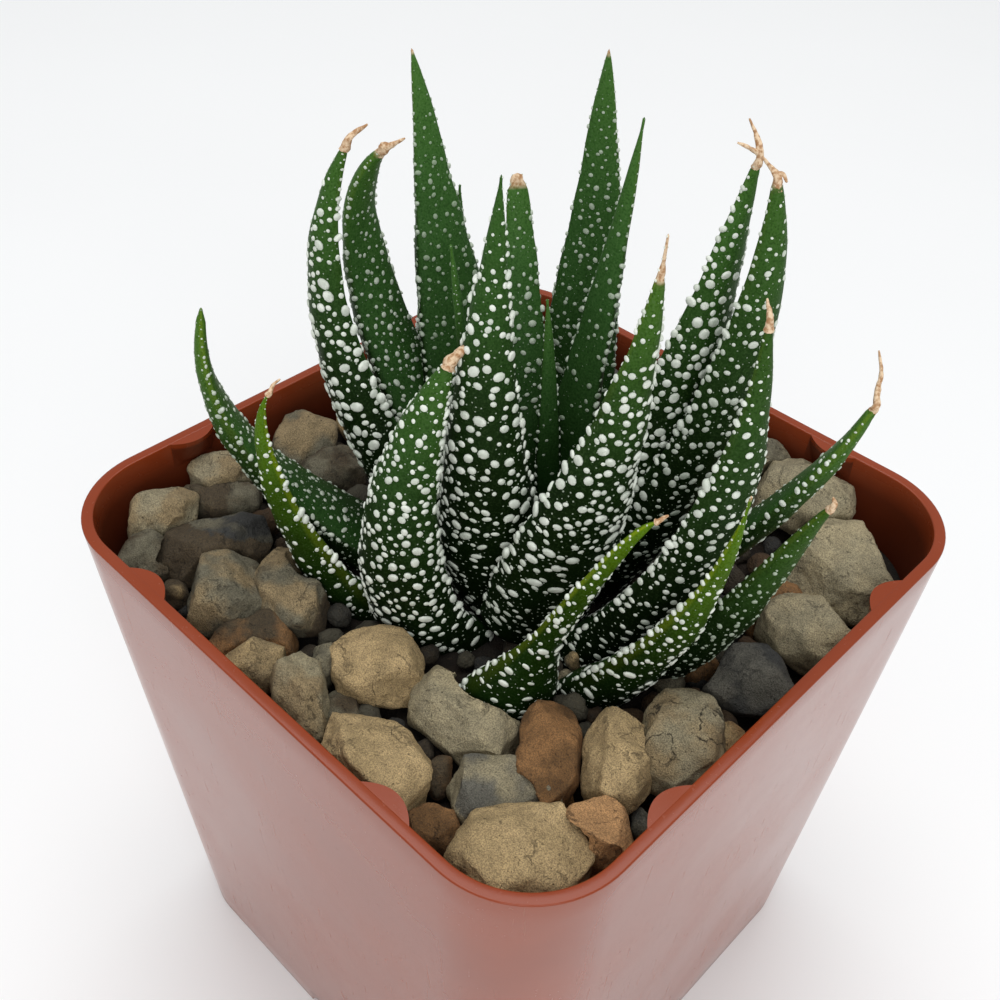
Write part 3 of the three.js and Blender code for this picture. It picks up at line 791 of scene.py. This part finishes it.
husk = husk_finish()
tips = [dry_tip(*row) for row in DRY_TIPS]
print("dry tips:", len(tips))

# %% [markdown]
# ## The pot
# The pot is one thin moulding: a square with round corners, a little narrower at the foot, with a
# foot ring, a flat inner floor and a thin rim. It is a loft that goes up the outside, over the rim
# and down the inside, so the wall has its true thickness. The lugs under the rim keep nested pots
# apart.

# %% The pot's sizes and its outline
POT_HEIGHT = 63
RIM_HALF = 31.74
BASE_HALF = 28.2
RIM_CORNER = 9.5
BASE_CORNER = 8.8
WALL = 1.1
FLOOR = 1.4
FOOT_WIDTH = 6
FOOT_RISE = 2
EDGE_ROUND = 0.15
EDGE_STEPS = 4
CORNER_STEPS = 20
SIDE_STEPS = 24


def quarter_turns(size):
    """The four turns about the pot's axis, as matrices of this size."""
    return [Matrix.Rotation(quarter * math.pi / 2, size, "Z") for quarter in range(4)]


def outline_at(z):
    """Half the pot's width and its corners' radius at height z."""
    share = z / POT_HEIGHT
    return (BASE_HALF + (RIM_HALF - BASE_HALF) * share,
            BASE_CORNER + (RIM_CORNER - BASE_CORNER) * share)


def pot_ring(z, inset):
    """The pot's outline at height z, moved in by inset, counterclockwise and in metres."""
    half, corner = (size - inset for size in outline_at(z))
    flat = half - corner
    ring = []
    for turn in quarter_turns(3):
        for i in range(SIDE_STEPS):
            ring.append(turn @ Vector((half, flat * (2 * i / SIDE_STEPS - 1), z)) * MM)
        for i in range(CORNER_STEPS):
            angle = math.pi / 2 * i / CORNER_STEPS
            x = flat + corner * math.cos(angle)
            y = flat + corner * math.sin(angle)
            ring.append(turn @ Vector((x, y, z)) * MM)
    return ring


def rounding(z, inset, start):
    """Rings of a quarter-round edge about the point (inset, z), from the angle start."""
    angles = [start + math.pi / 2 * i / EDGE_STEPS for i in range(EDGE_STEPS + 1)]
    return [(z + EDGE_ROUND * math.sin(a), inset - EDGE_ROUND * math.cos(a)) for a in angles]


# %% Loft the pot
def pot_profile():
    """Heights and insets, up the outside, over the rim and down the inside."""
    recess = FOOT_WIDTH - FLOOR
    top = POT_HEIGHT - EDGE_ROUND
    profile = [(FOOT_RISE, FOOT_WIDTH + 0.5), (FOOT_RISE - 0.15, FOOT_WIDTH + 0.1),
               (0.15, FOOT_WIDTH), (0.0, FOOT_WIDTH - 0.2), (0.0, FOOT_WIDTH / 2)]
    profile += rounding(EDGE_ROUND, EDGE_ROUND, -math.pi / 2)
    profile += [(h, 0) for h in range(3, POT_HEIGHT - 1, 3)]
    profile += rounding(top, EDGE_ROUND, 0)
    profile += rounding(top, WALL - EDGE_ROUND, math.pi / 2)
    profile += [(h, WALL) for h in range(POT_HEIGHT - 3, 5, -6)]
    profile += [(FLOOR + 1.0, WALL), (FLOOR + 0.3, WALL + 0.3), (FLOOR, WALL + 1.0)]
    profile += [(FLOOR, recess - 0.3), (FLOOR + 0.3, recess)]
    profile += [(FLOOR + FOOT_RISE - 0.3, recess), (FLOOR + FOOT_RISE, recess + 0.3)]
    return profile


LUG_OFFSETS = (-15.7, 15.7)
LUG_LENGTH = 6
LUG_REACH = 1.2
LUG_DEPTH = 3
LUG_SUNK = 0.35  # how far the lug's face starts behind the wall's inner side
LUG_STEPS = 28
LUG_LEVELS = 8


def lug_points(offset, turn):
    """One lug: an arc seen from above that leans back into the wall below the rim."""
    wall_y = -(RIM_HALF - WALL)
    points = []
    for level in range(LUG_LEVELS + 1):
        share = level / LUG_LEVELS
        z = POT_HEIGHT - 0.02 - LUG_DEPTH * (1 - share)
        reach = LUG_REACH * share ** 0.5
        row = [Vector((offset + side * LUG_LENGTH / 2, wall_y - WALL * 0.6, z)) for side in (-1, 1)]
        for i in range(LUG_STEPS + 1):
            along = 1 - 2 * i / LUG_STEPS
            y = wall_y - LUG_SUNK + (reach + LUG_SUNK) * (1 - along * along)
            row.append(Vector((offset + along * LUG_LENGTH / 2, y, z)))
        points += [turn @ point * MM for point in row]
    count = len(row)
    first = sum(points[:count], Vector()) / count
    last = sum(points[-count:], Vector()) / count
    return points + [first, last], loft_faces(LUG_LEVELS + 1, count)


def add_lugs(obj):
    """Joins the eight lugs to the shell as closed bodies sunk in its wall."""
    mesh = bmesh.new()
    mesh.from_mesh(obj.data)
    for turn in quarter_turns(3):
        for offset in LUG_OFFSETS:
            points, faces = lug_points(offset, turn)
            made = [mesh.verts.new(point) for point in points]
            for face in faces:
                mesh.faces.new([made[i] for i in face])
    mesh.to_mesh(obj.data)
    mesh.free()


pot_shell = loft("pot_shell", [pot_ring(z, inset) for z, inset in pot_profile()],
                 Vector((0, 0, FOOT_RISE * MM)), Vector((0, 0, (FLOOR + FOOT_RISE) * MM)))
add_lugs(pot_shell)
print("pot faces:", len(pot_shell.data.polygons))

# %% [markdown]
# ### The drain notches and the pot's finish
# A flat arch runs through the foot in the middle of each side, so that water can leave. Each is
# cut by a lying cylinder, which is simpler than a profile that changes on the way round. The
# plastic is glossy outside. The rim and the inside get a deeper red than the outer wall, and the
# inside is made much darker; both are painted shade, as it is all one plastic. Two attributes
# mark the outer wall and the inside, and what neither marks is the rim.

# %% Cut the notches
NOTCH_RADIUS = 3
NOTCH_SIDES = 32


def cut_notches(obj):
    """Cuts a flat arch through the foot in the middle of each side."""
    middle = Matrix.Translation(
        (0, -(BASE_HALF - FOOT_WIDTH / 2 + 1) * MM, -0.15 * NOTCH_RADIUS * MM))
    cutters = []
    for turn in quarter_turns(4):
        mesh = bmesh.new()
        bmesh.ops.create_cone(mesh, cap_ends=True, segments=NOTCH_SIDES, radius1=NOTCH_RADIUS * MM,
                              radius2=NOTCH_RADIUS * MM, depth=(FOOT_WIDTH + 2) * MM,
                              matrix=turn @ middle @ Matrix.Rotation(math.pi / 2, 4, "X"))
        cutter = from_bmesh("notch", mesh)
        modifier = obj.modifiers.new("notch", "BOOLEAN")
        modifier.operation = "DIFFERENCE"
        modifier.solver = "EXACT"
        modifier.use_self = True
        modifier.object = cutter
        cutters.append(cutter)
    baked(obj)
    for cutter in cutters:
        bpy.data.objects.remove(cutter)


# %% The pot's finish
def pot_finish():
    """Glossy moulded plastic, smudged, faintly rippled and scuffed; painted shade deepens rim and
    inside.
    """
    tree = Finish("pot plastic", ior=1.38)
    tree.surface.inputs["Coat Roughness"].default_value = 0.12
    wall = tree.attribute("wall")
    inside = tree.attribute("inside")
    cloud = tree.noise(14 * MM, 3.0)
    dust = tree.noise(0.5 * MM, 3.0)
    stretched = tree.add("ShaderNodeMapping", None,
                         {"Vector": tree.place, "Scale": (1.0, 1.0, 0.06)})
    scuff = tree.noise(0.45 * MM, place=stretched).ramp(0.66, 0.74)
    base = tree.mix(cloud.ramp(0.3, 0.7), (0.25, 0.055, 0.024), (0.285, 0.066, 0.03))
    base = tree.mix(scuff * 0.2, base, (0.3, 0.13, 0.08))
    base = tree.mix(dust.ramp(0.7, 0.8) * 0.2, base, (0.3, 0.16, 0.11))
    # painted shade: the rim and the inside get a deeper red than the outer wall, though it is one
    # plastic
    base = tree.mix(wall * -0.6 + 0.6, base, (0.25, 0.03, 0.0))
    # painted shade: the inside is made much darker
    base = tree.mix(inside * 0.65, base, (0.03, 0.008, 0.004))
    rough = cloud.ramp(0.3, 0.7, 0.15, 0.24) + inside * 0.2 + scuff * 0.12
    rough = rough + dust.ramp(0.55, 0.75) * 0.06
    ripple = tree.noise(22 * MM, 1.0)
    normal = tree.bumps(ripple + dust * 0.01, 0.6 * MM, 0.35)
    return tree.plug(base, rough, normal, wall * 0.28)


def inset_of(place):
    """How far a point of the pot lies inside its outline at the same height, in mm."""
    half, corner = outline_at(place.z / MM)
    flat = half - corner
    return corner - math.hypot(max(abs(place.x) / MM - flat, 0), max(abs(place.y) / MM - flat, 0))


def mark(obj, name, test):
    """Stores 1 on the vertices whose height and inset, in mm, pass the test, and 0 on the rest."""
    values = [float(test(v.co.z / MM, inset_of(v.co))) for v in obj.data.vertices]
    store_values(obj, name, values)


RIM_BAND = 0.4  # how far down the inside the rim's colour reaches before the painted shade starts


def is_inside(height, inset):
    return FLOOR < height < POT_HEIGHT - RIM_BAND and inset > WALL * 0.9


def is_wall(height, inset):
    return height < POT_HEIGHT - EDGE_ROUND and inset < EDGE_ROUND


cut_notches(pot_shell)
mark(pot_shell, "inside", is_inside)
mark(pot_shell, "wall", is_wall)
paint(pot_shell, pot_finish())
fasten(pot_shell, "pot")
print("pot faces after the notches:", len(pot_shell.data.polygons))

# %% [markdown]
# ## The soil
# Almost all the soil is hidden, but it shows as a dark, crumbly bed in the gaps between the
# pebbles. It is a block that fills the pot, with a top of close rings raised by three noises.

# %% Make the soil
SOIL_TOP = 54.8
SOIL_RINGS = 90
CLEARANCE = 0.3  # between pieces that would touch


def make_soil():
    inset = WALL + CLEARANCE
    rings = [pot_ring(FLOOR + FOOT_RISE + CLEARANCE, inset), pot_ring(SOIL_TOP - 1, inset)]
    edge = pot_ring(SOIL_TOP, inset)
    for row in range(SOIL_RINGS):
        share = 1 - row / SOIL_RINGS
        fade = min(1, 8 * (1 - share))
        ring = []
        for point in edge:
            spot = Vector((point.x * share, point.y * share, 0))
            lumps = 1.1 * noise.noise(spot * 260) + 0.45 * noise.noise(spot * 1100)
            crumbs = 0.22 * noise.noise(spot * 3100)
            ring.append(Vector((spot.x, spot.y, (SOIL_TOP + (lumps + crumbs) * fade) * MM)))
        rings.append(ring)
    return loft("soil_bed", rings, Vector((0, 0, rings[0][0].z)), Vector((0, 0, SOIL_TOP * MM)))


def soil_finish():
    tree = Finish("soil")
    lump = tree.noise(2.2 * MM, 4.0)
    crumb = tree.noise(0.35 * MM, 3.0)
    base = tree.mix(lump.ramp(0.35, 0.7), (0.008, 0.006, 0.004), (0.02, 0.013, 0.008))
    base = tree.mix(crumb.ramp(0.6, 0.75) * 0.5, base, (0.05, 0.033, 0.02))
    return tree.plug(base, 0.95, tree.bumps(crumb, 0.3 * MM))


soil_bed = make_soil()
paint(soil_bed, soil_finish())
fasten(soil_bed, "soil")
print("soil faces:", len(soil_bed.data.polygons))

# %% [markdown]
# ## The pebbles
# Each pebble starts from its own plain solid. A voxel remesh gives it an even skin, a few seeded
# planes break flat faces off it, smoothing wears the edges, and a small Geometry Nodes tree
# weathers it: low lumps, then grain. Every stone has its own two colours and fine cracks, and a
# few have a part of another colour.

# %% The tree that weathers a stone
def weather_tree():
    sizes = ("Lump Size", "Lump Height", "Grain Size", "Grain Height", "Seed")
    inputs = {**{label: "Float" for label in sizes}, "Finish": "Material"}
    group, tree, pin = new_group("weather stone", inputs)
    shifted = tree.vector("ADD", tree.geometry("InputPosition"), pin["Seed"])

    def waves(size, detail):
        return tree.noise(size, detail, 0.65, shifted) - 0.5

    rise = waves(pin["Lump Size"], 1.0) * pin["Lump Height"]
    rise = rise + waves(pin["Grain Size"], 3.0) * pin["Grain Height"]
    push = tree.vector("SCALE", tree.geometry("InputNormal"), rise)
    moved = tree.geometry("SetPosition", Geometry=pin["Geometry"], Offset=push)
    moved = tree.geometry("RealizeInstances", Geometry=moved)
    tree.add("NodeGroupOutput", None, {0: tree.painted(moved, pin["Finish"])})
    return group


weather_stone = weather_tree()
print("nodes that weather a stone:", len(weather_stone.nodes))


# %% The stones' finish
FAINT = 0.3  # how dark the cracks are on most stones


def stone_finish(name, light, dark, seed, crack=FAINT, patch=None):
    """Two clouded colours, sandy grain, pits, chips and cracks, and a patch if it is given."""
    tree = Finish(name)
    here = tree.place
    tree.place = tree.vector("ADD", here, (seed * 0.37, seed * 0.11, 0))
    cloud = tree.noise(4 * MM, 3.0)
    rock = tree.noise(1.6 * MM, 10.0, 0.7)
    chip = tree.add("ShaderNodeTexVoronoi", None, {"Vector": tree.place, "Scale": 1 / (1.1 * MM)})
    sand = tree.noise(0.11 * MM, 1.0)
    holes = tree.noise(0.26 * MM, 1.0)
    base = tree.mix(cloud.ramp(0.4, 0.6), dark, light)
    if patch:
        way, start, colour = patch
        depth = tree.vector("DOT_PRODUCT", here, way)
        share = (depth + (rock - 0.5) * 3 * MM).ramp(start * MM, (start + 0.5) * MM)
        base = tree.mix(share, base, colour)
    # shade is painted shade where it follows the rock's relief, darker in its hollows and lighter
    # on its rises; the sand speckle in it is the stone's own grain
    shade = rock.ramp(0.3, 0.7, 0.84, 1.2) * sand.ramp(0.3, 0.7, 0.68, 1.36)
    shade = shade * holes.ramp(0.22, 0.3, 0.45, 1.0)
    height = rock * 0.9 + chip * 0.35 + sand * 0.16 + holes.ramp(0.22, 0.36) * 0.2
    bend = tree.noise(3.4 * MM, 4.0)
    where = tree.noise(4.5 * MM, 1.0).ramp(0.45, 0.6)
    line = tree.maths("ABSOLUTE", bend - 0.5) + tree.maths("ABSOLUTE", rock - 0.5) * 0.25
    cut = line.ramp(0.024, 0.004) * where * crack
    shade = shade * (1 - cut * 0.75)
    height = height - cut * 0.8
    base = tree.mix(1.0, base, shade, "MULTIPLY")
    return tree.plug(base, sand.ramp(0.3, 0.7, 0.72, 0.9), tree.bumps(height, 0.7 * MM, 0.95))


# %% The pebbles' looks
BEIGE = (0.46, 0.33, 0.165)
SAND = (0.37, 0.265, 0.13)
TAN = (0.27, 0.2, 0.105)
STRAW = (0.36, 0.3, 0.18)
GREY = (0.15, 0.135, 0.09)
ASH = (0.28, 0.24, 0.15)
SLATE = (0.045, 0.045, 0.042)
BLUE_GREY = (0.125, 0.118, 0.095)
BROWN = (0.13, 0.065, 0.022)
RUST = (0.25, 0.125, 0.045)
ORANGE = (0.43, 0.235, 0.1)
UMBER = (0.07, 0.05, 0.027)
PEBBLES = [
    # light, dark, wear, faces broken off it
    (BEIGE, SAND, 5, 6), (ASH, BLUE_GREY, 1, 10), (BEIGE, SAND, 2, 8), (STRAW, ASH, 3, 7),
    (BEIGE, SAND, 12, 3), (ASH, TAN, 5, 5), (BEIGE, SAND, 4, 6), (RUST, BROWN, 10, 2),
    (ORANGE, ORANGE, 2, 8), (TAN, GREY, 3, 6), (TAN, GREY, 3, 7), (GREY, SLATE, 3, 6),
    (ASH, TAN, 3, 6), (SAND, TAN, 3, 6), (RUST, UMBER, 8, 3), (ASH, TAN, 5, 4),
    (TAN, ASH, 6, 3), (GREY, UMBER, 6, 4), (GREY, UMBER, 4, 6), (TAN, GREY, 6, 4),
    (GREY, UMBER, 5, 4), (STRAW, ASH, 6, 6), (STRAW, ASH, 6, 5), (BLUE_GREY, SLATE, 1, 9),
    (STRAW, ASH, 6, 4), (ASH, GREY, 6, 4), (RUST, BROWN, 9, 2), (RUST, BROWN, 4, 5),
    (BEIGE, SAND, 4, 6), (ASH, GREY, 4, 6), (BEIGE, SAND, 4, 6), (BLUE_GREY, SLATE, 4, 6),
    (SAND, BROWN, 5, 5),
]
CRACKS = {4: 0.4, 6: 1.0, 9: 0.4, 13: 0.4, 30: 0.5}  # the numbers of the stones with deeper cracks
PATCHES = {
    # number: the way to the patch, where it begins along that way, and its colour
    2: ((0.0, 0.0, -1.0), -58.8, ASH),
    10: ((0.74, 0.5, -0.45), -41.0, UMBER),
    11: ((0.0, 0.0, -1.0), -57.6, GREY),
    12: ((0.3, -0.6, -0.74), -38.0, UMBER),
}
print("pebbles:", len(PEBBLES))

# %% Break, wear and weather the pebbles
VOXEL = 0.26 * MM
STONE_FILL = 1.03  # a worn stone is this much larger than the box of its plain solid


def places_of(mesh):
    places = numpy.empty(len(mesh.vertices) * 3)
    mesh.vertices.foreach_get("co", places)
    return places.reshape(-1, 3)


def break_faces(mesh, breaks, seed):
    """Flattens the mesh where each of a few seeded planes cuts it, the first one near its top."""
    draw = random.Random(seed)
    places = places_of(mesh)
    middle = (places.min(axis=0) + places.max(axis=0)) / 2
    for number in range(breaks):
        way = Vector(draw.gauss(0, 1) for _ in range(3))
        way.z = abs(way.z)
        if number == 0:
            way = Vector((way.x * 0.25, way.y * 0.25, 1))
        way = numpy.array(way.normalized())
        reach = (places - middle) @ way
        cut = reach.max() * draw.uniform(0.72, 0.88)
        places -= numpy.outer(numpy.maximum(reach - cut, 0), way)
    mesh.vertices.foreach_set("co", places.ravel())


def finish_stone(obj, wear, breaks, seed, finish):
    """Remeshes, breaks, rounds and weathers a stone to its first size, and gives it its finish."""
    places = places_of(obj.data)
    low, high = places.min(axis=0), places.max(axis=0)
    even = obj.modifiers.new("even skin", "REMESH")
    even.mode = "VOXEL"
    even.voxel_size = VOXEL
    even.use_smooth_shade = True
    baked(obj)
    break_faces(obj.data, breaks, seed)
    worn = obj.modifiers.new("worn corners", "SMOOTH")
    worn.factor = 0.5
    worn.iterations = max(1, wear // 2)
    dress(obj, weather_stone, Lump_Size=3.2 * MM, Lump_Height=0.8 * MM, Grain_Size=1.1 * MM,
          Grain_Height=0.45 * MM, Seed=seed * 0.731, Finish=finish)
    places = places_of(obj.data)
    now_low, now_high = places.min(axis=0), places.max(axis=0)
    share = (high - low) / (now_high - now_low) * STONE_FILL
    places = (low + high) / 2 + (places - (now_low + now_high) / 2) * share
    obj.data.vertices.foreach_set("co", places.ravel())
    obj.data.update()


def make_pebble(number):
    node = f"pebble_{number:02}"
    light, dark, wear, breaks = PEBBLES[number - 1]
    mesh = bmesh.new()
    mesh.from_mesh(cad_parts[node].data)
    bmesh.ops.remove_doubles(mesh, verts=mesh.verts, dist=0.002 * MM)
    obj = from_bmesh(node + "_stone", mesh)
    finish = stone_finish(
        obj.name, light, dark, number, CRACKS.get(number, FAINT), PATCHES.get(number))
    finish_stone(obj, wear, breaks, number, finish)
    return fasten(obj, node)


stones = [make_pebble(number) for number in range(1, len(PEBBLES) + 1)]
print("triangles in the pebbles:", triangles(stones))

# %% [markdown]
# ### Smaller pebbles that lie between the large ones
# These have no solid of their own. Each starts as the hull of seeded points on a sphere, which
# gives the blunt corners of a broken stone, and is then worn and weathered in the same way.

# %% Make the smaller pebbles
SMALL_SEED = 60
HULL_POINTS = 26
SMALL_PEBBLES = {
    # centre, width, depth, height, turn, light, dark
    "small_olive": ((-18.7, -27.2, 56.5), 3.2, 3.4, 3.4, 40, SAND, UMBER),
    "small_slab": ((-1.6, -22.7, 57.3), 2.6, 5.2, 4.4, 50, ASH, GREY),
    "small_dark": ((3.0, -24.4, 56.2), 4.6, 4.4, 3.8, 20, GREY, UMBER),
    "small_umber": ((13.2, -22.9, 56.0), 3.0, 4.6, 4.0, 45, BROWN, UMBER),
    "small_rust": ((21.8, -17.4, 55.8), 2.8, 2.6, 3.0, 10, RUST, BROWN),
    "small_beige": ((28.2, -3.4, 57.0), 3.4, 4.4, 4.0, 80, BEIGE, RUST),
    "small_shadow": ((28.4, -14.9, 56.2), 2.4, 3.2, 4.0, 60, GREY, SLATE),
    "small_brown": ((21.1, 2.1, 56.4), 4.4, 4.2, 4.0, 30, RUST, BROWN),
    "small_grey": ((20.2, -1.2, 55.8), 3.8, 2.4, 3.0, 15, GREY, UMBER),
    "small_pale": ((12.9, -5.4, 56.8), 2.7, 3.2, 3.4, 40, ASH, SAND),
    "small_blue": ((13.6, -7.6, 55.8), 2.0, 2.0, 2.4, 0, ASH, BLUE_GREY),
}


def small_pebble(name, seed):
    centre, width, depth, height, turn, light, dark = SMALL_PEBBLES[name]
    draw = random.Random(seed)
    mesh = bmesh.new()
    for _ in range(HULL_POINTS):
        way = Vector(draw.gauss(0, 1) for _ in range(3)).normalized() * draw.uniform(0.88, 1)
        mesh.verts.new(Vector((way.x * width, way.y * depth, way.z * height)) * MM / 2)
    hull = bmesh.ops.convex_hull(mesh, input=mesh.verts)
    bmesh.ops.delete(mesh, geom=hull["geom_interior"], context="VERTS")
    place = Matrix.Translation(Vector(centre) * MM) @ Matrix.Rotation(math.radians(turn), 4, "Z")
    bmesh.ops.transform(mesh, matrix=place, verts=mesh.verts)
    obj = from_bmesh(name, mesh)
    finish_stone(obj, 4, 4, seed, stone_finish(name, light, dark, seed))
    return fasten(obj)


small_stones = [small_pebble(name, SMALL_SEED + i) for i, name in enumerate(SMALL_PEBBLES)]
print("smaller pebbles:", len(small_stones))

# %% [markdown]
# ## Small gravel
# Between the pebbles lie smaller stones. They are scattered over the soil by a seeded draw that
# keeps clear of the pebbles and leaves, and a Geometry Nodes tree puts one of a few stone shapes
# on each point.

# %% A few gravel shapes
gravel_shapes = bpy.data.collections.new("gravel shapes")


def gravel_shape(name, seed):
    draw = random.Random(seed)
    mesh = bmesh.new()
    bmesh.ops.create_icosphere(mesh, subdivisions=3, radius=1)
    shift = Vector((seed * 3.1, 0, 0))
    squash = Vector((1, draw.uniform(0.75, 0.95), draw.uniform(0.6, 0.8)))
    for vertex in mesh.verts:
        coarse = noise.noise(vertex.co * 1.3 + shift)
        fine = noise.noise(vertex.co * 4 + shift)
        vertex.co = vertex.co * (1 + 0.3 * coarse + 0.1 * fine) * squash
    for face in mesh.faces:
        face.smooth = True
    return from_bmesh(name, mesh, gravel_shapes)


for seed in range(5):
    gravel_shape(f"gravel_{seed}", seed + 1)


# %% Where the gravel lies
ROOM = (RIM_HALF - 3.2) * MM  # half the width of the square that the gravel lies in
ROOM_FLAT = 0.72  # the share of that half which is straight
ROOM_CORNER = 0.28  # and the share that a round corner takes
CLEAR_OF_SOLIDS = 0.75  # how near a large piece a stone may lie, as a share of its radius
CLEAR_OF_EACH = 0.85  # and how near another stone, as a share of both radii


def solids_tree():
    """A search tree of the frame's leaves, pebbles and stem."""
    points, faces = [], []
    for name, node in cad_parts.items():
        if name in ("pot", "soil"):
            continue
        start = len(points)
        points += [vertex.co.copy() for vertex in node.data.vertices]
        faces += [[start + i for i in polygon.vertices] for polygon in node.data.polygons]
    return BVHTree.FromPolygons(points, faces)


def in_room(x, y, radius):
    """True where a stone of this radius clears the pot's wall and its round corners."""
    past = [max(0, abs(value) - ROOM * ROOM_FLAT) for value in (x, y)]
    return (past[0] ** 2 + past[1] ** 2) ** 0.5 <= ROOM * ROOM_CORNER - radius


def lay_gravel(tries, seed):
    """Centres and radii of small stones that keep clear of the large ones and of each other."""
    draw = random.Random(seed)
    solids = solids_tree()
    placed = []
    for _ in range(tries):
        radius = draw.uniform(0.9, 2.1) * MM
        x = draw.uniform(-ROOM, ROOM) * 0.99
        y = draw.uniform(-ROOM, ROOM) * 0.99
        if not in_room(x, y, radius):
            continue
        z = (SOIL_TOP + draw.uniform(0.1, 1.6)) * MM + radius * 0.4
        centre = Vector((x, y, z))
        nearest, normal, _, distance = solids.find_nearest(centre)
        if distance < radius * CLEAR_OF_SOLIDS or (centre - nearest).dot(normal) < 0:
            continue
        gaps = ((centre - other).length - CLEAR_OF_EACH * (radius + size) for other, size in placed)
        if any(gap < 0 for gap in gaps):
            continue
        placed.append((centre, radius))
    return placed


gravel = lay_gravel(tries=4000, seed=11)
print("small stones:", len(gravel))


# %% The tree that lays it, and its finish
def gravel_tree():
    inputs = {"Shapes": "Collection", "Seed": "Int", "Finish": "Material"}
    group, tree, pin = new_group("lay gravel", inputs)
    shapes = tree.geometry("CollectionInfo", Collection=pin["Shapes"], Separate_Children=True,
                           Reset_Children=True)
    turn = tree.between((-0.5, -0.5, 0), (0.5, 0.5, 6.283), pin["Seed"])
    points = tree.store(pin["Geometry"], "tone", tree.between(0.0, 1.0, 5))
    laid = tree.geometry("InstanceOnPoints", Points=points, Instance=shapes, Pick_Instance=True,
                         Rotation=turn, Scale=tree.named("radius"))
    laid = tree.geometry("RealizeInstances", Geometry=laid)
    tree.add("NodeGroupOutput", None, {0: tree.painted(laid, pin["Finish"])})
    return group


def gravel_finish():
    tree = Finish("gravel")
    tone = tree.attribute("tone")
    cloud = tree.noise(1.2 * MM, 4.0)
    sand = tree.noise(0.25 * MM, 3.0)
    base = tree.mix(tone.ramp(0.25, 0.35), UMBER, BROWN)
    base = tree.mix(tone.ramp(0.55, 0.6), base, GREY)
    base = tree.mix(tone.ramp(0.75, 0.8), base, SLATE)
    base = tree.mix(cloud.ramp(0.5, 0.7) * 0.5, base, SLATE)
    base = tree.mix(sand.ramp(0.5, 0.7) * 0.2, base, TAN)
    # painted shade: all the gravel is darkened towards black, for the shade in the gaps between the
    # pebbles
    base = tree.mix(0.6, base, (0.006, 0.005, 0.004))
    return tree.plug(base, 0.85, tree.bumps(sand + cloud, 0.3 * MM))


gravel_bed = new_object("gravel_bed", [centre for centre, radius in gravel], [])
store_values(gravel_bed, "radius", [radius for centre, radius in gravel])
dress(gravel_bed, gravel_tree(), Shapes=gravel_shapes, Seed=4, Finish=gravel_finish())
fasten(gravel_bed)
print("gravel faces:", len(gravel_bed.data.polygons))

# %% [markdown]
# ## The stem
# The stem is hidden under the leaves, so its plain solid stays and only gets a green finish.

# %% Finish the stem
def stem_finish():
    tree = Finish("stem")
    cloud = tree.noise(1.5 * MM, 3.0)
    base = tree.mix(cloud, (0.03, 0.06, 0.015), (0.12, 0.16, 0.05))
    return tree.plug(base, 0.7, tree.bumps(cloud, 0.2 * MM))


paint(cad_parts["stem"], stem_finish())

# %% [markdown]
# ## Floor and light
# The photograph is high-key: a white sweep lit from all round, with the light strongest from
# above. A pale floor and a bright even sky do most of it. A large soft lamp above and a smaller
# one in front give the leaves and stones their shading.

# %% Floor, sky and lamps
FLOOR_HALF = 3.0
LIT_POINT = Vector((0, 0, 0.06))


def floor_finish():
    tree = Finish("floor")
    base = tree.mix(tree.noise(0.08), (0.915, 0.92, 0.92), (0.94, 0.945, 0.945))
    return tree.plug(base, 0.6)


corners = [(x * FLOOR_HALF, y * FLOOR_HALF, 0) for x, y in ((-1, -1), (1, -1), (1, 1), (-1, 1))]
floor = new_object("floor", corners, [(0, 1, 2, 3)], smooth=False)
paint(floor, floor_finish())

world = bpy.data.worlds.new("sky")
bpy.context.scene.world = world
world.use_nodes = True
sky = world.node_tree.nodes["Background"]
sky.inputs["Color"].default_value = (0.97, 0.985, 1.0, 1.0)
sky.inputs["Strength"].default_value = 0.5


def add_lamp(name, place, size, power):
    """A square lamp at place, in metres, that points at the plant."""
    data = bpy.data.lights.new(name, "AREA")
    data.shape = "SQUARE"
    data.size = size
    data.energy = power
    obj = bpy.data.objects.new(name, data)
    aim = LIT_POINT - Vector(place)
    obj.matrix_world = Matrix.LocRotScale(Vector(place), aim.to_track_quat("-Z", "Y"), None)
    bpy.context.scene.collection.objects.link(obj)


add_lamp("top lamp", (-0.16, 0.16, 1.2), 0.9, 7.4)
add_lamp("front lamp", (0.45, -0.38, 0.45), 0.5, 2.0)
bpy.context.scene.view_settings.view_transform = "Standard"
